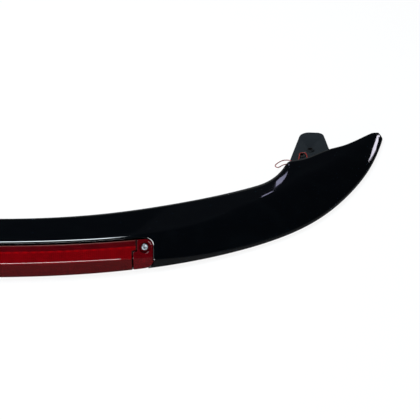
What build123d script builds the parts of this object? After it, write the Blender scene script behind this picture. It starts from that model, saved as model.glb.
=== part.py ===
from build123d import *
import math
import os

# Plan of the body: X across the car, Y forward from the rear edge, Z up, millimetres
HALF_SPAN = 579.0
REACH = 360.0
CHORD = 133.0
TIP_RADIUS = 11.0
TIP_FLAT = 6.0
REAR_TIP_ANGLE = -15.0
FRONT_TIP_ANGLE = 131.0
# Run of each edge, as shares of the half span and of the sweep from the centre line to the tip
REAR_SHAPE = ((0.370, 0.052), (0.607, 0.171), (0.781, 0.343), (0.891, 0.558), (0.954, 0.748), (0.976, 0.840))
BLADE_SHAPE = ((0.262, 0.043), (0.460, 0.153), (0.636, 0.305))
NOTCH_SHAPE = ((0.675, 0.358), (0.703, 0.431), (0.728, 0.547), (0.7415, 0.606), (0.767, 0.630))
PAD_SHAPE = ((0.797, 0.667), (0.852, 0.760), (0.882, 0.798))

# Section of the body, from the foot of the rear face over the lip to the front edge
FOOT_HEIGHT = 2.0
LIP_HEIGHT = 52.9
HORN_HEIGHT = 33.0
TIP_HEIGHT = 12.0
LIP_SETBACK = 13.8
CROWN_SHARE = 0.42
LAMP_CREASE_HEIGHT = 24.0
HORN_CREASE_HEIGHT = 10.0
TIP_CREASE_DROP = 0.55
CREASE_OVERHANG = 5.0
BLADE_EDGE_HEIGHT = 7.0
PAD_EDGE_HEIGHT = 16.5
TIP_EDGE_HEIGHT = 9.0
LIP_RADIUS = 4.0
CROWN_RADIUS = 60.0
CREASE_RADIUS = 3.0
EDGE_RADIUS = 4.5
TIP_OVERHANG_DROP = 0.8
# Shares of the rear edge over which the crease, the lip and its setback change form
CREASE_FADE = 0.36
LIP_FADE = 0.45
LIP_FADE_POWER = 10
SETBACK_FADE = 0.52
SETBACK_FADE_POWER = 8
# Shares of the two lines at a corner that its rounding may take up
CREASE_ROOM = (0.6, 0.2)
LIP_ROOM = (0.7, 0.7)
EDGE_ROOM = (0.2, 0.7)
CORD_ROOM = (0.45, 0.45)

# Hollow shell and the panel that closes it
WALL = 3.0
INNER_ROUNDING = 1.0
FRONT_LAND = 10.0
HOLLOW_SHARE = 0.88
PANEL_THICK = 2.5
PANEL_GAP = 0.6
BOSS_RADIUS = 4.5
BOSS_SHARE = 0.68
BOSS_STATIONS = (0.0, 0.16, 0.31, 0.45)
PANEL_SCREW_RADIUS = 1.5
PANEL_SCREW_LENGTH = 9.0
PANEL_SCREW_HEAD = 3.0
PANEL_SCREW_HEAD_DEPTH = 1.5
SCREW_CLEARANCE = 0.3
RECESS_LENGTH = 2.0
RECESS_WIDTH = 0.5

# Lamp: a band of red lens under the lip, with a plain screwed piece at each end
LAMP_HALF = 232.5
LENS_JOINT = 204.3
JOINT_STEP = 5.2
JOINT_DROP = 13.9
JOINT_GAP = 2.0
LENS_DROP = 6.3
LENS_BEND_RISE = 3.8
LENS_RECESS = 0.6
LENS_THICK = 2.5
LENS_FOOT = 0.2
LENS_EDGE_RADIUS = 0.8
LENS_CORNER = 9.0
LENS_LOW_CORNER = 12.0
POCKET_GAP = 1.2
POCKET_TOP_GAP = 2.8
GASKET_THICK = 0.9
GASKET_WIDTH = 2.2
SEAT_GAP = 0.05
HOUSING_DEPTH = 20.0
HOUSING_WALL = 2.0
HOUSING_FLOOR = 5.4
REFLECTOR_DEPTH = 8.0
REFLECTOR_THICK = 1.2
REFLECTOR_GAP = 0.3
BOARD_DEPTH = 12.0
BOARD_THICK = 1.6
BOARD_WIDTH = 13.0
BOARD_DROP = 13.0
LED_COUNT = 34
LED_PITCH = 11.4
LED_WIDTH = 3.5
LED_HEIGHT = 1.9
LED_WINDOW_RADIUS = 3.6
POST_RADIUS = 3.0
POST_GAP = 0.2
FIRST_POST = 4
POST_EVERY = 6
RESISTOR_LENGTH = 3.2
RESISTOR_WIDTH = 1.6
RESISTOR_HEIGHT = 0.6

# Lamp fixing screw at each end
LAMP_SCREW_X = 222.3
LAMP_SCREW_DROP = 17.3
LAMP_SCREW_RADIUS = 2.5
LAMP_SCREW_LENGTH = 20.0
LAMP_HEAD_RADIUS = 4.75
LAMP_HEAD_HEIGHT = 2.8
LAMP_RECESS_DEPTH = 2.2
COUNTERBORE_RADIUS = 8.0
COUNTERBORE_DEPTH = 4.0
CAP_BOSS_RADIUS = 9.5
EAR_DEPTH = 8.0
EAR_THICK = 3.0
EAR_GAP = 0.6
SHELL_BLOCK_WIDTH = 16.0
SHELL_BLOCK_DEPTH = 17.0
INSERT_RADIUS = 3.5
INSERT_LENGTH = 9.0

# Mounting bracket under each horn
BRACKET_SHARE = 0.793
BRACKET_LEAN = 3.5
BRACKET_ROOT_WIDTH = 66.0
BRACKET_TIP_WIDTH = 34.0
BRACKET_REACH = 80.0
BRACKET_INSIDE = 44.0
BRACKET_THICK = 4.0
BRACKET_CORNER = 10.0
BRACKET_TIP_CORNERS = (11.0, 17.0)
BRACKET_INNER_CORNER = 2.0
BRACKET_SLOT_GAP = 0.8
WIRE_SLOT_HEIGHT = 5.0
BRACKET_SCREW_SPOTS = ((8.0, -33.0), (26.0, -14.0))
BRACKET_SCREW_RADIUS = 2.0
BRACKET_SCREW_LENGTH = 11.0
BRACKET_SCREW_HEAD = 4.0
BRACKET_SCREW_HEAD_DEPTH = 2.2
BRACKET_BOSS_RADIUS = 5.5
MOUNT_REACH = 27.6
MOUNT_SIDE = -3.0
MOUNT_THREAD_RADIUS = 3.0
MOUNT_INSERT_RADIUS = 4.0
MOUNT_INSERT_FLANGE = 4.8
MOUNT_FLANGE_THICK = 0.6
MOUNT_BOSS_RADIUS = 6.5
MOUNT_BOSS_HEIGHT = 1.5
LEAD_HOLE_REACH = 12.0
LEAD_HOLE_SIDE = -16.0
LEAD_HOLE_RADIUS = 5.0
GROMMET_LIP = 1.8
GROMMET_FLANGE = 1.2
GROMMET_BORE = 3.0

# Foam tape and gaskets that the part sits on
TAPE_WIDTH = 8.0
TAPE_INSET = 1.0
REAR_TAPE_INSET = 5.0
FRONT_TAPE_SHARE = 0.52
REAR_TAPE_SHARE = 0.68
GASKET_START = 0.73
GASKET_END = 0.985
GASKET_INSET = 2.0

# Lamp lead, its two wires and their plug, on the right-hand side
LEAD_RADIUS = 2.0
WIRE_RADIUS = 0.75
WIRE_SPREAD = 3.0
GLAND_X = 150.0
GLAND_HEIGHT = 18.0
GLAND_RADIUS = 4.5
GLAND_REACH = 11.5
LEAD_STRAIGHT = 18.0
CLIP_RUNS = (3, 4, 5)
CLIP_WIDTH = 8.0
CLIP_FOOT = 12.0
CLIP_STEM = 4.0
CLIP_WALL = 1.5
# Places on the right bracket: across it, along it from the shell's front edge, above its top face
BUSH_SPOT = (-21.2, -32.6, 2.5)
BUSH_TURN = 33.5
BUSH_LENGTH = 12.0
BUSH_WIDTH = 9.0
BUSH_HEIGHT = 4.6
BUSH_ROUNDING = 1.0
RED_STRAIGHT = 14.0
BLACK_STRAIGHT = 11.0
PLUG_SPOT = (-0.8, -51.3, 3.0)
PLUG_WIDTH = 10.0
PLUG_LENGTH = 20.0
PLUG_HEIGHT = 8.0
PLUG_WALL = 1.2
PLUG_ROUNDING = 1.0
PLUG_STRAIGHT = 17.0
TERMINAL_LENGTH = 6.0
TERMINAL_WIDTH = 1.6
TERMINAL_THICK = 0.8

# How finely the body is described along its length: blade, horn's neck and horn's pad
BLADE_END = 0.52
PAD_START = 0.835
BLADE_STEPS = 5
NECK_STEPS = 8
PAD_STEPS = 8
TIP_CROWDING = 1.5
LAMP_STEPS = 4
# How far a cut runs past what it cuts
CUT_PAST = 10.0
SIDES = (-1, 1)


# Plan edges

TIP_CENTRE = Vector(HALF_SPAN - TIP_RADIUS, REACH - TIP_RADIUS)
TIP_ANGLE = (REAR_TIP_ANGLE + FRONT_TIP_ANGLE) / 2


def on_circle(radius, angle):
    return Vector(radius, 0).rotate(Axis.Z, angle)


def plan_edge(start, shape, base, end_angle):
    """Smooth edge from the centre line to the middle of the round tip."""
    points = [(0, start)]
    points += [(x * HALF_SPAN, base + y * (REACH - base)) for x, y in shape]
    points.append(TIP_CENTRE + on_circle(TIP_RADIUS, end_angle))
    turn = math.copysign(90, TIP_ANGLE - end_angle)
    run = Spline(*points, tangents=[(1, 0), on_circle(1, end_angle + turn)])
    return Wire([run, CenterArc(TIP_CENTRE, TIP_RADIUS, end_angle, TIP_ANGLE - end_angle)])


REAR_EDGE = plan_edge(0, REAR_SHAPE, 0, REAR_TIP_ANGLE)
FRONT_EDGE = plan_edge(CHORD, BLADE_SHAPE + NOTCH_SHAPE + PAD_SHAPE, CHORD, FRONT_TIP_ANGLE)


# Stations: pairs of matching points on the rear and the front edge

def share_at_x(edge, x):
    """Share of an edge's length at which it has come out to x."""
    low, high = 0.0, 1.0
    while high - low > 1e-6:
        middle = (low + high) / 2
        if edge.position_at(middle).X < x:
            low = middle
        else:
            high = middle
    return low


def tip_share(edge):
    return 1 - math.asin(TIP_FLAT / 2 / TIP_RADIUS) * TIP_RADIUS / edge.length


BLADE_END_X = BLADE_END * HALF_SPAN
PAD_REAR_X = PAD_START * HALF_SPAN
PAD_FRONT_X = NOTCH_SHAPE[-1][0] * HALF_SPAN
RAILS = (
    (0.0, 0.0),
    (share_at_x(REAR_EDGE, BLADE_END_X), share_at_x(FRONT_EDGE, BLADE_END_X)),
    (share_at_x(REAR_EDGE, PAD_REAR_X), share_at_x(FRONT_EDGE, PAD_FRONT_X)),
    (tip_share(REAR_EDGE), tip_share(FRONT_EDGE)),
)
PAD_SHARE = RAILS[2][0]


def pair_at(rear_share):
    """Rear share with the front share that belongs to it."""
    for (r0, f0), (r1, f1) in zip(RAILS, RAILS[1:]):
        if rear_share <= r1:
            return rear_share, f0 + (f1 - f0) * (rear_share - r0) / (r1 - r0)
    return RAILS[-1]


def body_shares():
    shares = []
    for start, end, steps, crowding in (
        (RAILS[0][0], RAILS[1][0], BLADE_STEPS, 1),
        (RAILS[1][0], RAILS[2][0], NECK_STEPS, 1),
        (RAILS[2][0], RAILS[3][0], PAD_STEPS, TIP_CROWDING),
    ):
        shares += [end - (end - start) * (1 - k / steps) ** crowding for k in range(steps)]
    return shares + [RAILS[3][0]]


def stations_between(start, end):
    inner = [s for s in body_shares() if start < s < end]
    return [start] + inner + [end]


def both_sides(shares):
    """Shares from the left end to the right end, with the side of each."""
    return [(s, -1) for s in reversed(shares[1:])] + [(s, 1) for s in shares]


def station_plane(share, side):
    rear_share, front_share = pair_at(share)
    rear = REAR_EDGE.position_at(rear_share)
    front = FRONT_EDGE.position_at(front_share)
    way = (front - rear).normalized()
    return Plane(
        origin=(side * rear.X, rear.Y, 0),
        x_dir=(side * way.X, way.Y, 0),
        z_dir=(way.Y, -side * way.X, 0),
    )


def station_chord(share):
    rear_share, front_share = pair_at(share)
    return (FRONT_EDGE.position_at(front_share) - REAR_EDGE.position_at(rear_share)).length


# Section of the body at a station

def even_curve(share, centre, pad, end):
    """Curve, level on the centre line, through a value there, at the pad and at the tip."""
    square = PAD_SHARE**2
    fourth = ((pad - centre) / square - (end - centre)) / (square - 1)
    second = end - centre - fourth
    return centre + second * share**2 + fourth * share**4


def fade(share, width, power=4):
    """One on the centre line, falling to nothing past the given share."""
    return math.exp(-((share / width) ** power))


def section_corners(share):
    """Foot, crease, lip, front edge and front foot."""
    chord = station_chord(share)
    lip_z = even_curve(share, LIP_HEIGHT, HORN_HEIGHT, TIP_HEIGHT)
    edge_z = even_curve(share, BLADE_EDGE_HEIGHT, PAD_EDGE_HEIGHT, TIP_EDGE_HEIGHT)
    rise = LAMP_CREASE_HEIGHT - HORN_CREASE_HEIGHT
    crease_rise = HORN_CREASE_HEIGHT + rise * fade(share, CREASE_FADE) - FOOT_HEIGHT
    crease_z = FOOT_HEIGHT + crease_rise * (1 - TIP_CREASE_DROP * share**8)
    overhang = CREASE_OVERHANG * (1 - TIP_OVERHANG_DROP * share**2)
    setback = CROWN_SHARE * chord
    setback += (LIP_SETBACK - setback) * fade(share, SETBACK_FADE, SETBACK_FADE_POWER)
    return [
        Vector(0, FOOT_HEIGHT),
        Vector(-overhang, crease_z),
        Vector(setback, lip_z),
        Vector(chord, edge_z),
        Vector(chord, FOOT_HEIGHT),
    ]


def fitting_radius(before, corner, after, share_before, share_after):
    """Largest rounding that keeps to its share of the two lines that meet."""
    turn = (corner - before).get_angle(after - corner)
    room = min(share_before * (corner - before).length, share_after * (after - corner).length)
    return room / math.tan(math.radians(turn / 2))


def section_radii(share, corners):
    lip = CROWN_RADIUS + (LIP_RADIUS - CROWN_RADIUS) * fade(share, LIP_FADE, LIP_FADE_POWER)
    crease_room = fitting_radius(*corners[0:3], *CREASE_ROOM)
    lip_room = fitting_radius(*corners[1:4], *LIP_ROOM)
    edge_room = fitting_radius(*corners[2:5], *EDGE_ROOM)
    return [0, min(CREASE_RADIUS, crease_room), min(lip, lip_room), min(EDGE_RADIUS, edge_room), 0]


def meet(start, way, other, other_way):
    """Where two lines cross."""
    cross = way.X * other_way.Y - way.Y * other_way.X
    gap = other - start
    return start + way * ((gap.X * other_way.Y - gap.Y * other_way.X) / cross)


def inset(corners, distances):
    """Outline with each line moved inward by its own distance."""
    count = len(corners)
    lines = []
    for i, distance in enumerate(distances):
        way = (corners[(i + 1) % count] - corners[i]).normalized()
        lines.append((corners[i] + Vector(way.Y, -way.X) * distance, way))
    return [meet(*lines[i - 1], *lines[i]) for i in range(count)]


def rounded_face(corners, radii):
    return make_face(FilletPolyline(*corners, radius=radii, close=True))


def loft_stations(section, shares):
    """Solid through the section's outline at every station."""
    faces = []
    for share, side in shares:
        faces.append(station_plane(share, side) * section(share))
    return loft(faces)


# Upper shell

def outer_section(share):
    corners = section_corners(share)
    return rounded_face(corners, section_radii(share, corners))


def inner_section(share):
    corners = section_corners(share)
    lip = section_radii(share, corners)[2]
    inner = inset(corners, (WALL, WALL, WALL, FRONT_LAND, -CUT_PAST))
    return rounded_face(inner, [0, 0, max(lip - WALL, INNER_ROUNDING), 0, 0])


OUTER = loft_stations(outer_section, both_sides(body_shares()))
HOLLOW = loft_stations(inner_section, both_sides(stations_between(0, HOLLOW_SHARE)))
PANEL_TOP = FOOT_HEIGHT + PANEL_THICK


def place_at(share, side, along, height=0.0):
    """Point at a distance along a station, from the rear edge forward."""
    return station_plane(share, side).from_local_coords(Vector(along, height))


def upright(radius, point, bottom, top):
    """Upright round bar at a point of the plan."""
    base = Plane(origin=(point.X, point.Y, bottom))
    return base * Cylinder(radius, top - bottom, align=(Align.CENTER, Align.CENTER, Align.MIN))


def group(pieces):
    return Compound(children=list(pieces))


BOSS_POINTS = [
    place_at(share, side, BOSS_SHARE * station_chord(share))
    for share, side in both_sides(list(BOSS_STATIONS))
]


# Lamp sections: depth is measured in from the rear face, drop is measured down from the lip

def face_frame(corners):
    up = (corners[2] - corners[1]).normalized()
    return up, Vector(up.Y, -up.X)


def lamp_corners(share):
    """A section's corners for the lamp, which bends a little above the shell's crease."""
    foot, crease, *rest = section_corners(share)
    return [foot, crease + (rest[0] - crease).normalized() * LENS_BEND_RISE, *rest]


def on_face(corners, depth, drop):
    up, inward = face_frame(corners)
    return corners[2] + inward * depth - up * drop


def band_edge(corners, depth, drop, foot):
    """Foot, crease and top of a line that follows the lower and rear face at a depth."""
    lower = (corners[1] - corners[0]).normalized()
    up, inward = face_frame(corners)
    lower_start = corners[0] + Vector(lower.Y, -lower.X) * depth
    bottom = meet(lower_start, lower, Vector(0, foot), Vector(1, 0))
    crease = meet(lower_start, lower, corners[2] + inward * depth, up)
    return [bottom, crease, on_face(corners, depth, drop)]


def band(share, outer, inner, drop, foot, edge_radius=0.0):
    """Bent strip between two depths, from a drop below the lip to a foot height."""
    corners = lamp_corners(share)
    front = band_edge(corners, outer, drop, foot)
    back = band_edge(corners, inner, drop, foot)
    bend = max(CREASE_RADIUS - outer, 0)
    return rounded_face(front + back[::-1], [edge_radius, bend, edge_radius, 0, 0, 0])


def strip_face(corners, depth, thick, top, bottom):
    """Flat strip behind the rear face, between two drops below the lip."""
    front = [on_face(corners, depth, bottom), on_face(corners, depth, top)]
    back = [on_face(corners, depth + thick, top), on_face(corners, depth + thick, bottom)]
    return make_face(Polyline(*front, *back, close=True))


def lamp_shares(half_length):
    end = share_at_x(REAR_EDGE, half_length)
    return both_sides([end * k / LAMP_STEPS for k in range(LAMP_STEPS + 1)])


def between_x(low, high):
    """Slab of space between two distances across the car."""
    middle = (low + high) / 2
    return Pos(middle, 0, 0) * Box(high - low, 4 * REACH, 4 * REACH)


LAMP_RUN = lamp_shares(LAMP_HALF + 2 * LENS_CORNER)
LENS_BACK = LENS_RECESS + LENS_THICK
GASKET_FRONT = LENS_BACK + SEAT_GAP
HOUSING_FRONT = GASKET_FRONT + GASKET_THICK + SEAT_GAP
BLOCK_FRONT = EAR_DEPTH + EAR_THICK + EAR_GAP
LAMP_HEAD_SEAT = LENS_RECESS + COUNTERBORE_DEPTH
LENS_FOOT_HEIGHT = FOOT_HEIGHT + LENS_FOOT


def face_spot(x, drop, depth):
    """Point at a depth behind the rear face, at x across the car."""
    share = share_at_x(REAR_EDGE, abs(x))
    point = on_face(section_corners(share), depth, drop)
    return station_plane(share, math.copysign(1, x)).from_local_coords(point)


def face_plane(x, drop, depth):
    """Plane on the rear face at x, looking out along the face's normal, X across the car."""
    spot = face_spot(x, drop, depth)
    across = face_spot(x + 1, drop, depth) - face_spot(x - 1, drop, depth)
    up = face_spot(x, drop - 1, depth) - spot
    return Plane(origin=spot, x_dir=across, z_dir=across.cross(up))


def corner_cutter(plane, size, side, rise):
    """Space outside a round corner at a plane's origin, with its centre inward of the origin."""
    square = Pos(-side * size / 2, -rise * size / 2) * Rectangle(1.5 * size, 1.5 * size)
    disc = Pos(-side * size, -rise * size) * Circle(size)
    inner = Pos(-side * size, -rise * size) * Rectangle(2 * size, 2 * size)
    corner = (square - inner) + (square & inner - disc)
    return plane * extrude(corner, 2 * HOUSING_DEPTH, both=True)


def upper_corner(size, side, half_length, drop):
    return corner_cutter(face_plane(side * half_length, drop, 0), size, side, 1)


def lower_corner(size, side, half_length, foot):
    """The same for the lower corner, square to the lower face."""
    share = share_at_x(REAR_EDGE, half_length)
    station = station_plane(share, side)
    bottom, crease, top = band_edge(lamp_corners(share), 0, 0, foot)
    base = station.from_local_coords(bottom)
    up = station.from_local_coords(crease) - base
    across = Vector(1, 0, 0)
    return corner_cutter(Plane(origin=base, x_dir=across, z_dir=across.cross(up)), size, side, -1)


# Lens band, then its division into the long lens and the two end pieces

def lens_band_section(share):
    return band(share, LENS_RECESS, LENS_BACK, LENS_DROP, LENS_FOOT_HEIGHT, LENS_EDGE_RADIUS)


LENS_BAND = loft_stations(lens_band_section, LAMP_RUN) & between_x(-LAMP_HALF, LAMP_HALF)
for end in SIDES:
    LENS_BAND -= upper_corner(LENS_CORNER, end, LAMP_HALF, LENS_DROP)
    LENS_BAND -= lower_corner(LENS_LOW_CORNER, end, LAMP_HALF, LENS_FOOT_HEIGHT)


def joint_region(grow):
    """Space of the long lens: it reaches a step further out above the joint's corner."""
    region = between_x(-LENS_JOINT - grow, LENS_JOINT + grow)
    for side in SIDES:
        plane = face_plane(side * LENS_JOINT, LENS_DROP + JOINT_DROP + grow, 0)
        step = Box(
            2 * (JOINT_STEP + grow),
            LAMP_HALF,
            4 * HOUSING_DEPTH,
            align=(Align.CENTER, Align.MIN, Align.CENTER),
        )
        region += plane * step
    return region


LENS = LENS_BAND & joint_region(0)
LENS_ENDS = LENS_BAND - joint_region(JOINT_GAP)


def lamp_screw_plane(side, depth):
    """Plane square to a lamp screw, at a depth along its axis."""
    return face_plane(side * LAMP_SCREW_X, LAMP_SCREW_DROP, 0).offset(-depth)


def inward_bar(plane, radius, length):
    """Round bar that runs inward from a plane on the rear face."""
    return plane * Cylinder(radius, length, align=(Align.CENTER, Align.CENTER, Align.MAX))


def lens_end(side):
    """Plain red end piece with a counterbore for its screw."""
    piece = LENS_ENDS & between_x(*sorted((side * LENS_JOINT / 2, side * LAMP_HALF)))
    boss_start = (LENS_RECESS + LENS_BACK) / 2
    boss_length = EAR_DEPTH - EAR_GAP - boss_start
    boss = inward_bar(lamp_screw_plane(side, boss_start), CAP_BOSS_RADIUS, boss_length)
    boss &= between_x(*sorted((side * (LENS_JOINT + JOINT_STEP + JOINT_GAP), side * LAMP_HALF)))
    piece += boss
    mouth = lamp_screw_plane(side, -CUT_PAST)
    piece -= inward_bar(mouth, COUNTERBORE_RADIUS, CUT_PAST + LAMP_HEAD_SEAT)
    piece -= inward_bar(mouth, LAMP_SCREW_RADIUS + SCREW_CLEARANCE, CUT_PAST + HOUSING_DEPTH)
    return piece


def pocket_section(share):
    """Opening in the shell's rear wall for the lamp."""
    corners = section_corners(share)
    top = LENS_DROP - POCKET_TOP_GAP
    outside = on_face(corners, -CUT_PAST, top)
    inside = on_face(corners, HOUSING_DEPTH + 2 * HOUSING_WALL, top)
    return make_face(
        Polyline(
            outside,
            inside,
            Vector(inside.X, -CUT_PAST),
            Vector(outside.X - 2 * CUT_PAST, -CUT_PAST),
            Vector(outside.X - 2 * CUT_PAST, outside.Y),
            close=True,
        )
    )


def pocket():
    half = LAMP_HALF + POCKET_GAP
    space = loft_stations(pocket_section, LAMP_RUN) & between_x(-half, half)
    for side in SIDES:
        space -= upper_corner(LENS_CORNER + POCKET_GAP, side, half, LENS_DROP - POCKET_TOP_GAP)
        space -= lower_corner(LENS_LOW_CORNER + POCKET_GAP, side, half, LENS_FOOT_HEIGHT - POCKET_GAP)
    return space


# Lamp housing, gasket, reflector and board

def housing_corners(share):
    corners = lamp_corners(share)
    foot, crease, top = band_edge(corners, HOUSING_FRONT, LENS_DROP + REFLECTOR_GAP, HOUSING_FLOOR)
    back_top = on_face(corners, HOUSING_DEPTH, LENS_DROP + REFLECTOR_GAP)
    back_foot = Vector(back_top.X - HOUSING_WALL, HOUSING_FLOOR)
    return [foot, crease, top, back_top, back_foot]


def housing_outer_section(share):
    return make_face(Polyline(*housing_corners(share), close=True))


def housing_inner_section(share):
    walls = (-CUT_PAST / 2, -CUT_PAST / 2, HOUSING_WALL, HOUSING_WALL, HOUSING_WALL)
    return make_face(Polyline(*inset(housing_corners(share), walls), close=True))


HOUSING_HALF = LENS_JOINT - JOINT_GAP
HOUSING_BODY = loft_stations(housing_outer_section, LAMP_RUN) & between_x(-HOUSING_HALF, HOUSING_HALF)
HOUSING_SPACE = loft_stations(housing_inner_section, LAMP_RUN)
HOUSING_SPACE &= between_x(HOUSING_WALL - HOUSING_HALF, HOUSING_HALF - HOUSING_WALL)
LED_XS = [LED_PITCH * (k - (LED_COUNT - 1) / 2) for k in range(LED_COUNT)]
POST_XS = [(LED_XS[k] + LED_XS[k + 1]) / 2 for k in range(FIRST_POST, LED_COUNT - FIRST_POST, POST_EVERY)]


def ear_section(share):
    corners = section_corners(share)
    top, bottom = LENS_DROP + HOUSING_WALL, LAMP_SCREW_DROP + CAP_BOSS_RADIUS
    return strip_face(corners, EAR_DEPTH, EAR_THICK, top, bottom)


def lamp_housing():
    """Tray with an ear at each end for the lamp screw and posts for the board."""
    ears = loft_stations(ear_section, LAMP_RUN)
    tray = HOUSING_BODY - HOUSING_SPACE
    for side in SIDES:
        span = sorted((side * (HOUSING_HALF - HOUSING_WALL), side * (LAMP_HALF - POCKET_GAP)))
        tray += ears & between_x(*span)
        mouth = lamp_screw_plane(side, 0)
        tray -= inward_bar(mouth, LAMP_SCREW_RADIUS + SCREW_CLEARANCE, HOUSING_DEPTH)
    post_start = BOARD_DEPTH + BOARD_THICK + POST_GAP
    for x in POST_XS:
        tray += inward_bar(led_plane(x, post_start), POST_RADIUS, HOUSING_DEPTH) & HOUSING_BODY
    return tray - gland_bar(LEAD_RADIUS)


GLAND_END_Y = face_spot(GLAND_X, LENS_DROP, HOUSING_DEPTH).Y + GLAND_REACH
GLAND_END = Vector(GLAND_X, GLAND_END_Y, GLAND_HEIGHT)


def gland_bar(radius):
    """Round bar along the lamp's outlet, from its end back into the housing."""
    end = Plane(origin=GLAND_END, z_dir=(0, 1, 0))
    return end * Cylinder(radius, HOUSING_DEPTH, align=(Align.CENTER, Align.CENTER, Align.MAX))


def gasket_section(share):
    drop = LENS_DROP + REFLECTOR_GAP
    return band(share, GASKET_FRONT, GASKET_FRONT + GASKET_THICK, drop, HOUSING_FLOOR)


def gasket_window_section(share):
    drop = LENS_DROP + REFLECTOR_GAP + GASKET_WIDTH
    return band(share, 0, HOUSING_DEPTH / 2, drop, HOUSING_FLOOR + GASKET_WIDTH)


def lamp_gasket():
    inside = HOUSING_HALF - GASKET_WIDTH
    ring = loft_stations(gasket_section, LAMP_RUN) & between_x(-HOUSING_HALF, HOUSING_HALF)
    return ring - (loft_stations(gasket_window_section, LAMP_RUN) & between_x(-inside, inside))


def reflector_section(share):
    drop = LENS_DROP + HOUSING_WALL + 2 * REFLECTOR_GAP
    foot = HOUSING_FLOOR + HOUSING_WALL + REFLECTOR_GAP
    return band(share, REFLECTOR_DEPTH, REFLECTOR_DEPTH + REFLECTOR_THICK, drop, foot)


def reflector():
    inside = HOUSING_HALF - HOUSING_WALL - REFLECTOR_GAP
    strip = loft_stations(reflector_section, LAMP_RUN) & between_x(-inside, inside)
    return strip - [inward_bar(led_plane(x, 0), LED_WINDOW_RADIUS, HOUSING_DEPTH) for x in LED_XS]


def led_plane(x, depth):
    return face_plane(x, BOARD_DROP + BOARD_WIDTH / 2, depth)


def board_section(share):
    corners = section_corners(share)
    top, bottom = BOARD_DROP, BOARD_DROP + BOARD_WIDTH
    return strip_face(corners, BOARD_DEPTH, BOARD_THICK, top, bottom)


def led_board():
    inside = HOUSING_HALF - 2 * HOUSING_WALL
    return loft_stations(board_section, LAMP_RUN) & between_x(-inside, inside)


def on_board(x, side_step, size):
    """Block soldered to the front of the board."""
    seat = led_plane(x, BOARD_DEPTH - SEAT_GAP) * Pos(0, side_step, 0)
    return seat * Box(*size, align=(Align.CENTER, Align.CENTER, Align.MIN))


def leds():
    return group(on_board(x, 0, (LED_WIDTH, LED_WIDTH, LED_HEIGHT)) for x in LED_XS)


def board_resistors():
    size = (RESISTOR_LENGTH, RESISTOR_WIDTH, RESISTOR_HEIGHT)
    step = BOARD_WIDTH / 2 - RESISTOR_WIDTH
    return group(on_board(x, step, size) for x in POST_XS)


# Screws

def countersunk_screw(point, bottom, radius, length, head_radius, head_depth):
    """Upright screw driven from below, its flat head level with the bottom."""
    shank = upright(radius, point, bottom + head_depth, bottom + length)
    base = Plane(origin=(point.X, point.Y, bottom))
    head = base * Cone(head_radius, radius, head_depth, align=(Align.CENTER, Align.CENTER, Align.MIN))
    return shank + head - base * cross_recess(head_depth)


def cross_recess(depth):
    length, width = RECESS_LENGTH * depth, RECESS_WIDTH * depth
    return Box(length, width, depth) + Box(width, length, depth)


def countersink(point, bottom, radius, head_radius, head_depth):
    """Clear space for such a screw."""
    wide, narrow = head_radius + 2 * SCREW_CLEARANCE, radius + SCREW_CLEARANCE
    deep = head_depth + 2 * SCREW_CLEARANCE
    base = Plane(origin=(point.X, point.Y, bottom - SCREW_CLEARANCE))
    cone = base * Cone(wide, narrow, deep, align=(Align.CENTER, Align.CENTER, Align.MIN))
    return cone + upright(narrow, point, bottom, bottom + CUT_PAST)


def panel_screw(point):
    return countersunk_screw(
        point, FOOT_HEIGHT, PANEL_SCREW_RADIUS, PANEL_SCREW_LENGTH, PANEL_SCREW_HEAD, PANEL_SCREW_HEAD_DEPTH
    )


def lamp_screw(side):
    """Pan-head screw with a rounded head and a cross recess."""
    seat = lamp_screw_plane(side, LAMP_HEAD_SEAT - SEAT_GAP)
    head = Cylinder(LAMP_HEAD_RADIUS, LAMP_HEAD_HEIGHT, align=(Align.CENTER, Align.CENTER, Align.MIN))
    head = fillet(head.edges().sort_by(Axis.Z)[-1], LAMP_HEAD_HEIGHT / 2)
    head -= Pos(0, 0, LAMP_HEAD_HEIGHT) * cross_recess(LAMP_RECESS_DEPTH)
    shank = Cylinder(LAMP_SCREW_RADIUS, LAMP_SCREW_LENGTH, align=(Align.CENTER, Align.CENTER, Align.MAX))
    return seat * (head + shank)


def lamp_screw_insert(side):
    """Brass insert that the lamp screw threads into."""
    seat = lamp_screw_plane(side, BLOCK_FRONT)
    bore = inward_bar(seat, LAMP_SCREW_RADIUS + SEAT_GAP, 2 * INSERT_LENGTH)
    return inward_bar(seat, INSERT_RADIUS, INSERT_LENGTH) - bore


def lamp_block(side):
    """Solid block under the shell's skin, faced square to the lamp screw, that carries its insert."""
    share = share_at_x(REAR_EDGE, LAMP_SCREW_X)
    corners = section_corners(share)
    low = LAMP_SCREW_DROP + SHELL_BLOCK_WIDTH / 2
    block_back = BLOCK_FRONT + SHELL_BLOCK_DEPTH
    skin = inset(corners, (0, 0, WALL / 2, 0, 0))
    slope = (skin[3] - skin[2]).normalized()
    up, inward = face_frame(corners)
    front_high = meet(on_face(corners, BLOCK_FRONT, low), up, skin[2], slope)
    back_high = meet(on_face(corners, block_back, low), Vector(0, 1), skin[2], slope)
    front_low, back_low = on_face(corners, BLOCK_FRONT, low), on_face(corners, block_back, low)
    outline = Polyline(front_low, front_high, back_high, back_low, close=True)
    block = station_plane(share, side) * extrude(make_face(outline), SHELL_BLOCK_WIDTH / 2, both=True)
    mouth = lamp_screw_plane(side, 0)
    end = LAMP_HEAD_SEAT + LAMP_SCREW_LENGTH + SCREW_CLEARANCE
    holes = [inward_bar(mouth, 2 * SHELL_BLOCK_WIDTH, BLOCK_FRONT)]
    holes.append(inward_bar(mouth, INSERT_RADIUS + SEAT_GAP, BLOCK_FRONT + INSERT_LENGTH + SEAT_GAP))
    holes.append(inward_bar(mouth, LAMP_SCREW_RADIUS + SEAT_GAP, end))
    return block - holes


# Brackets

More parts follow.
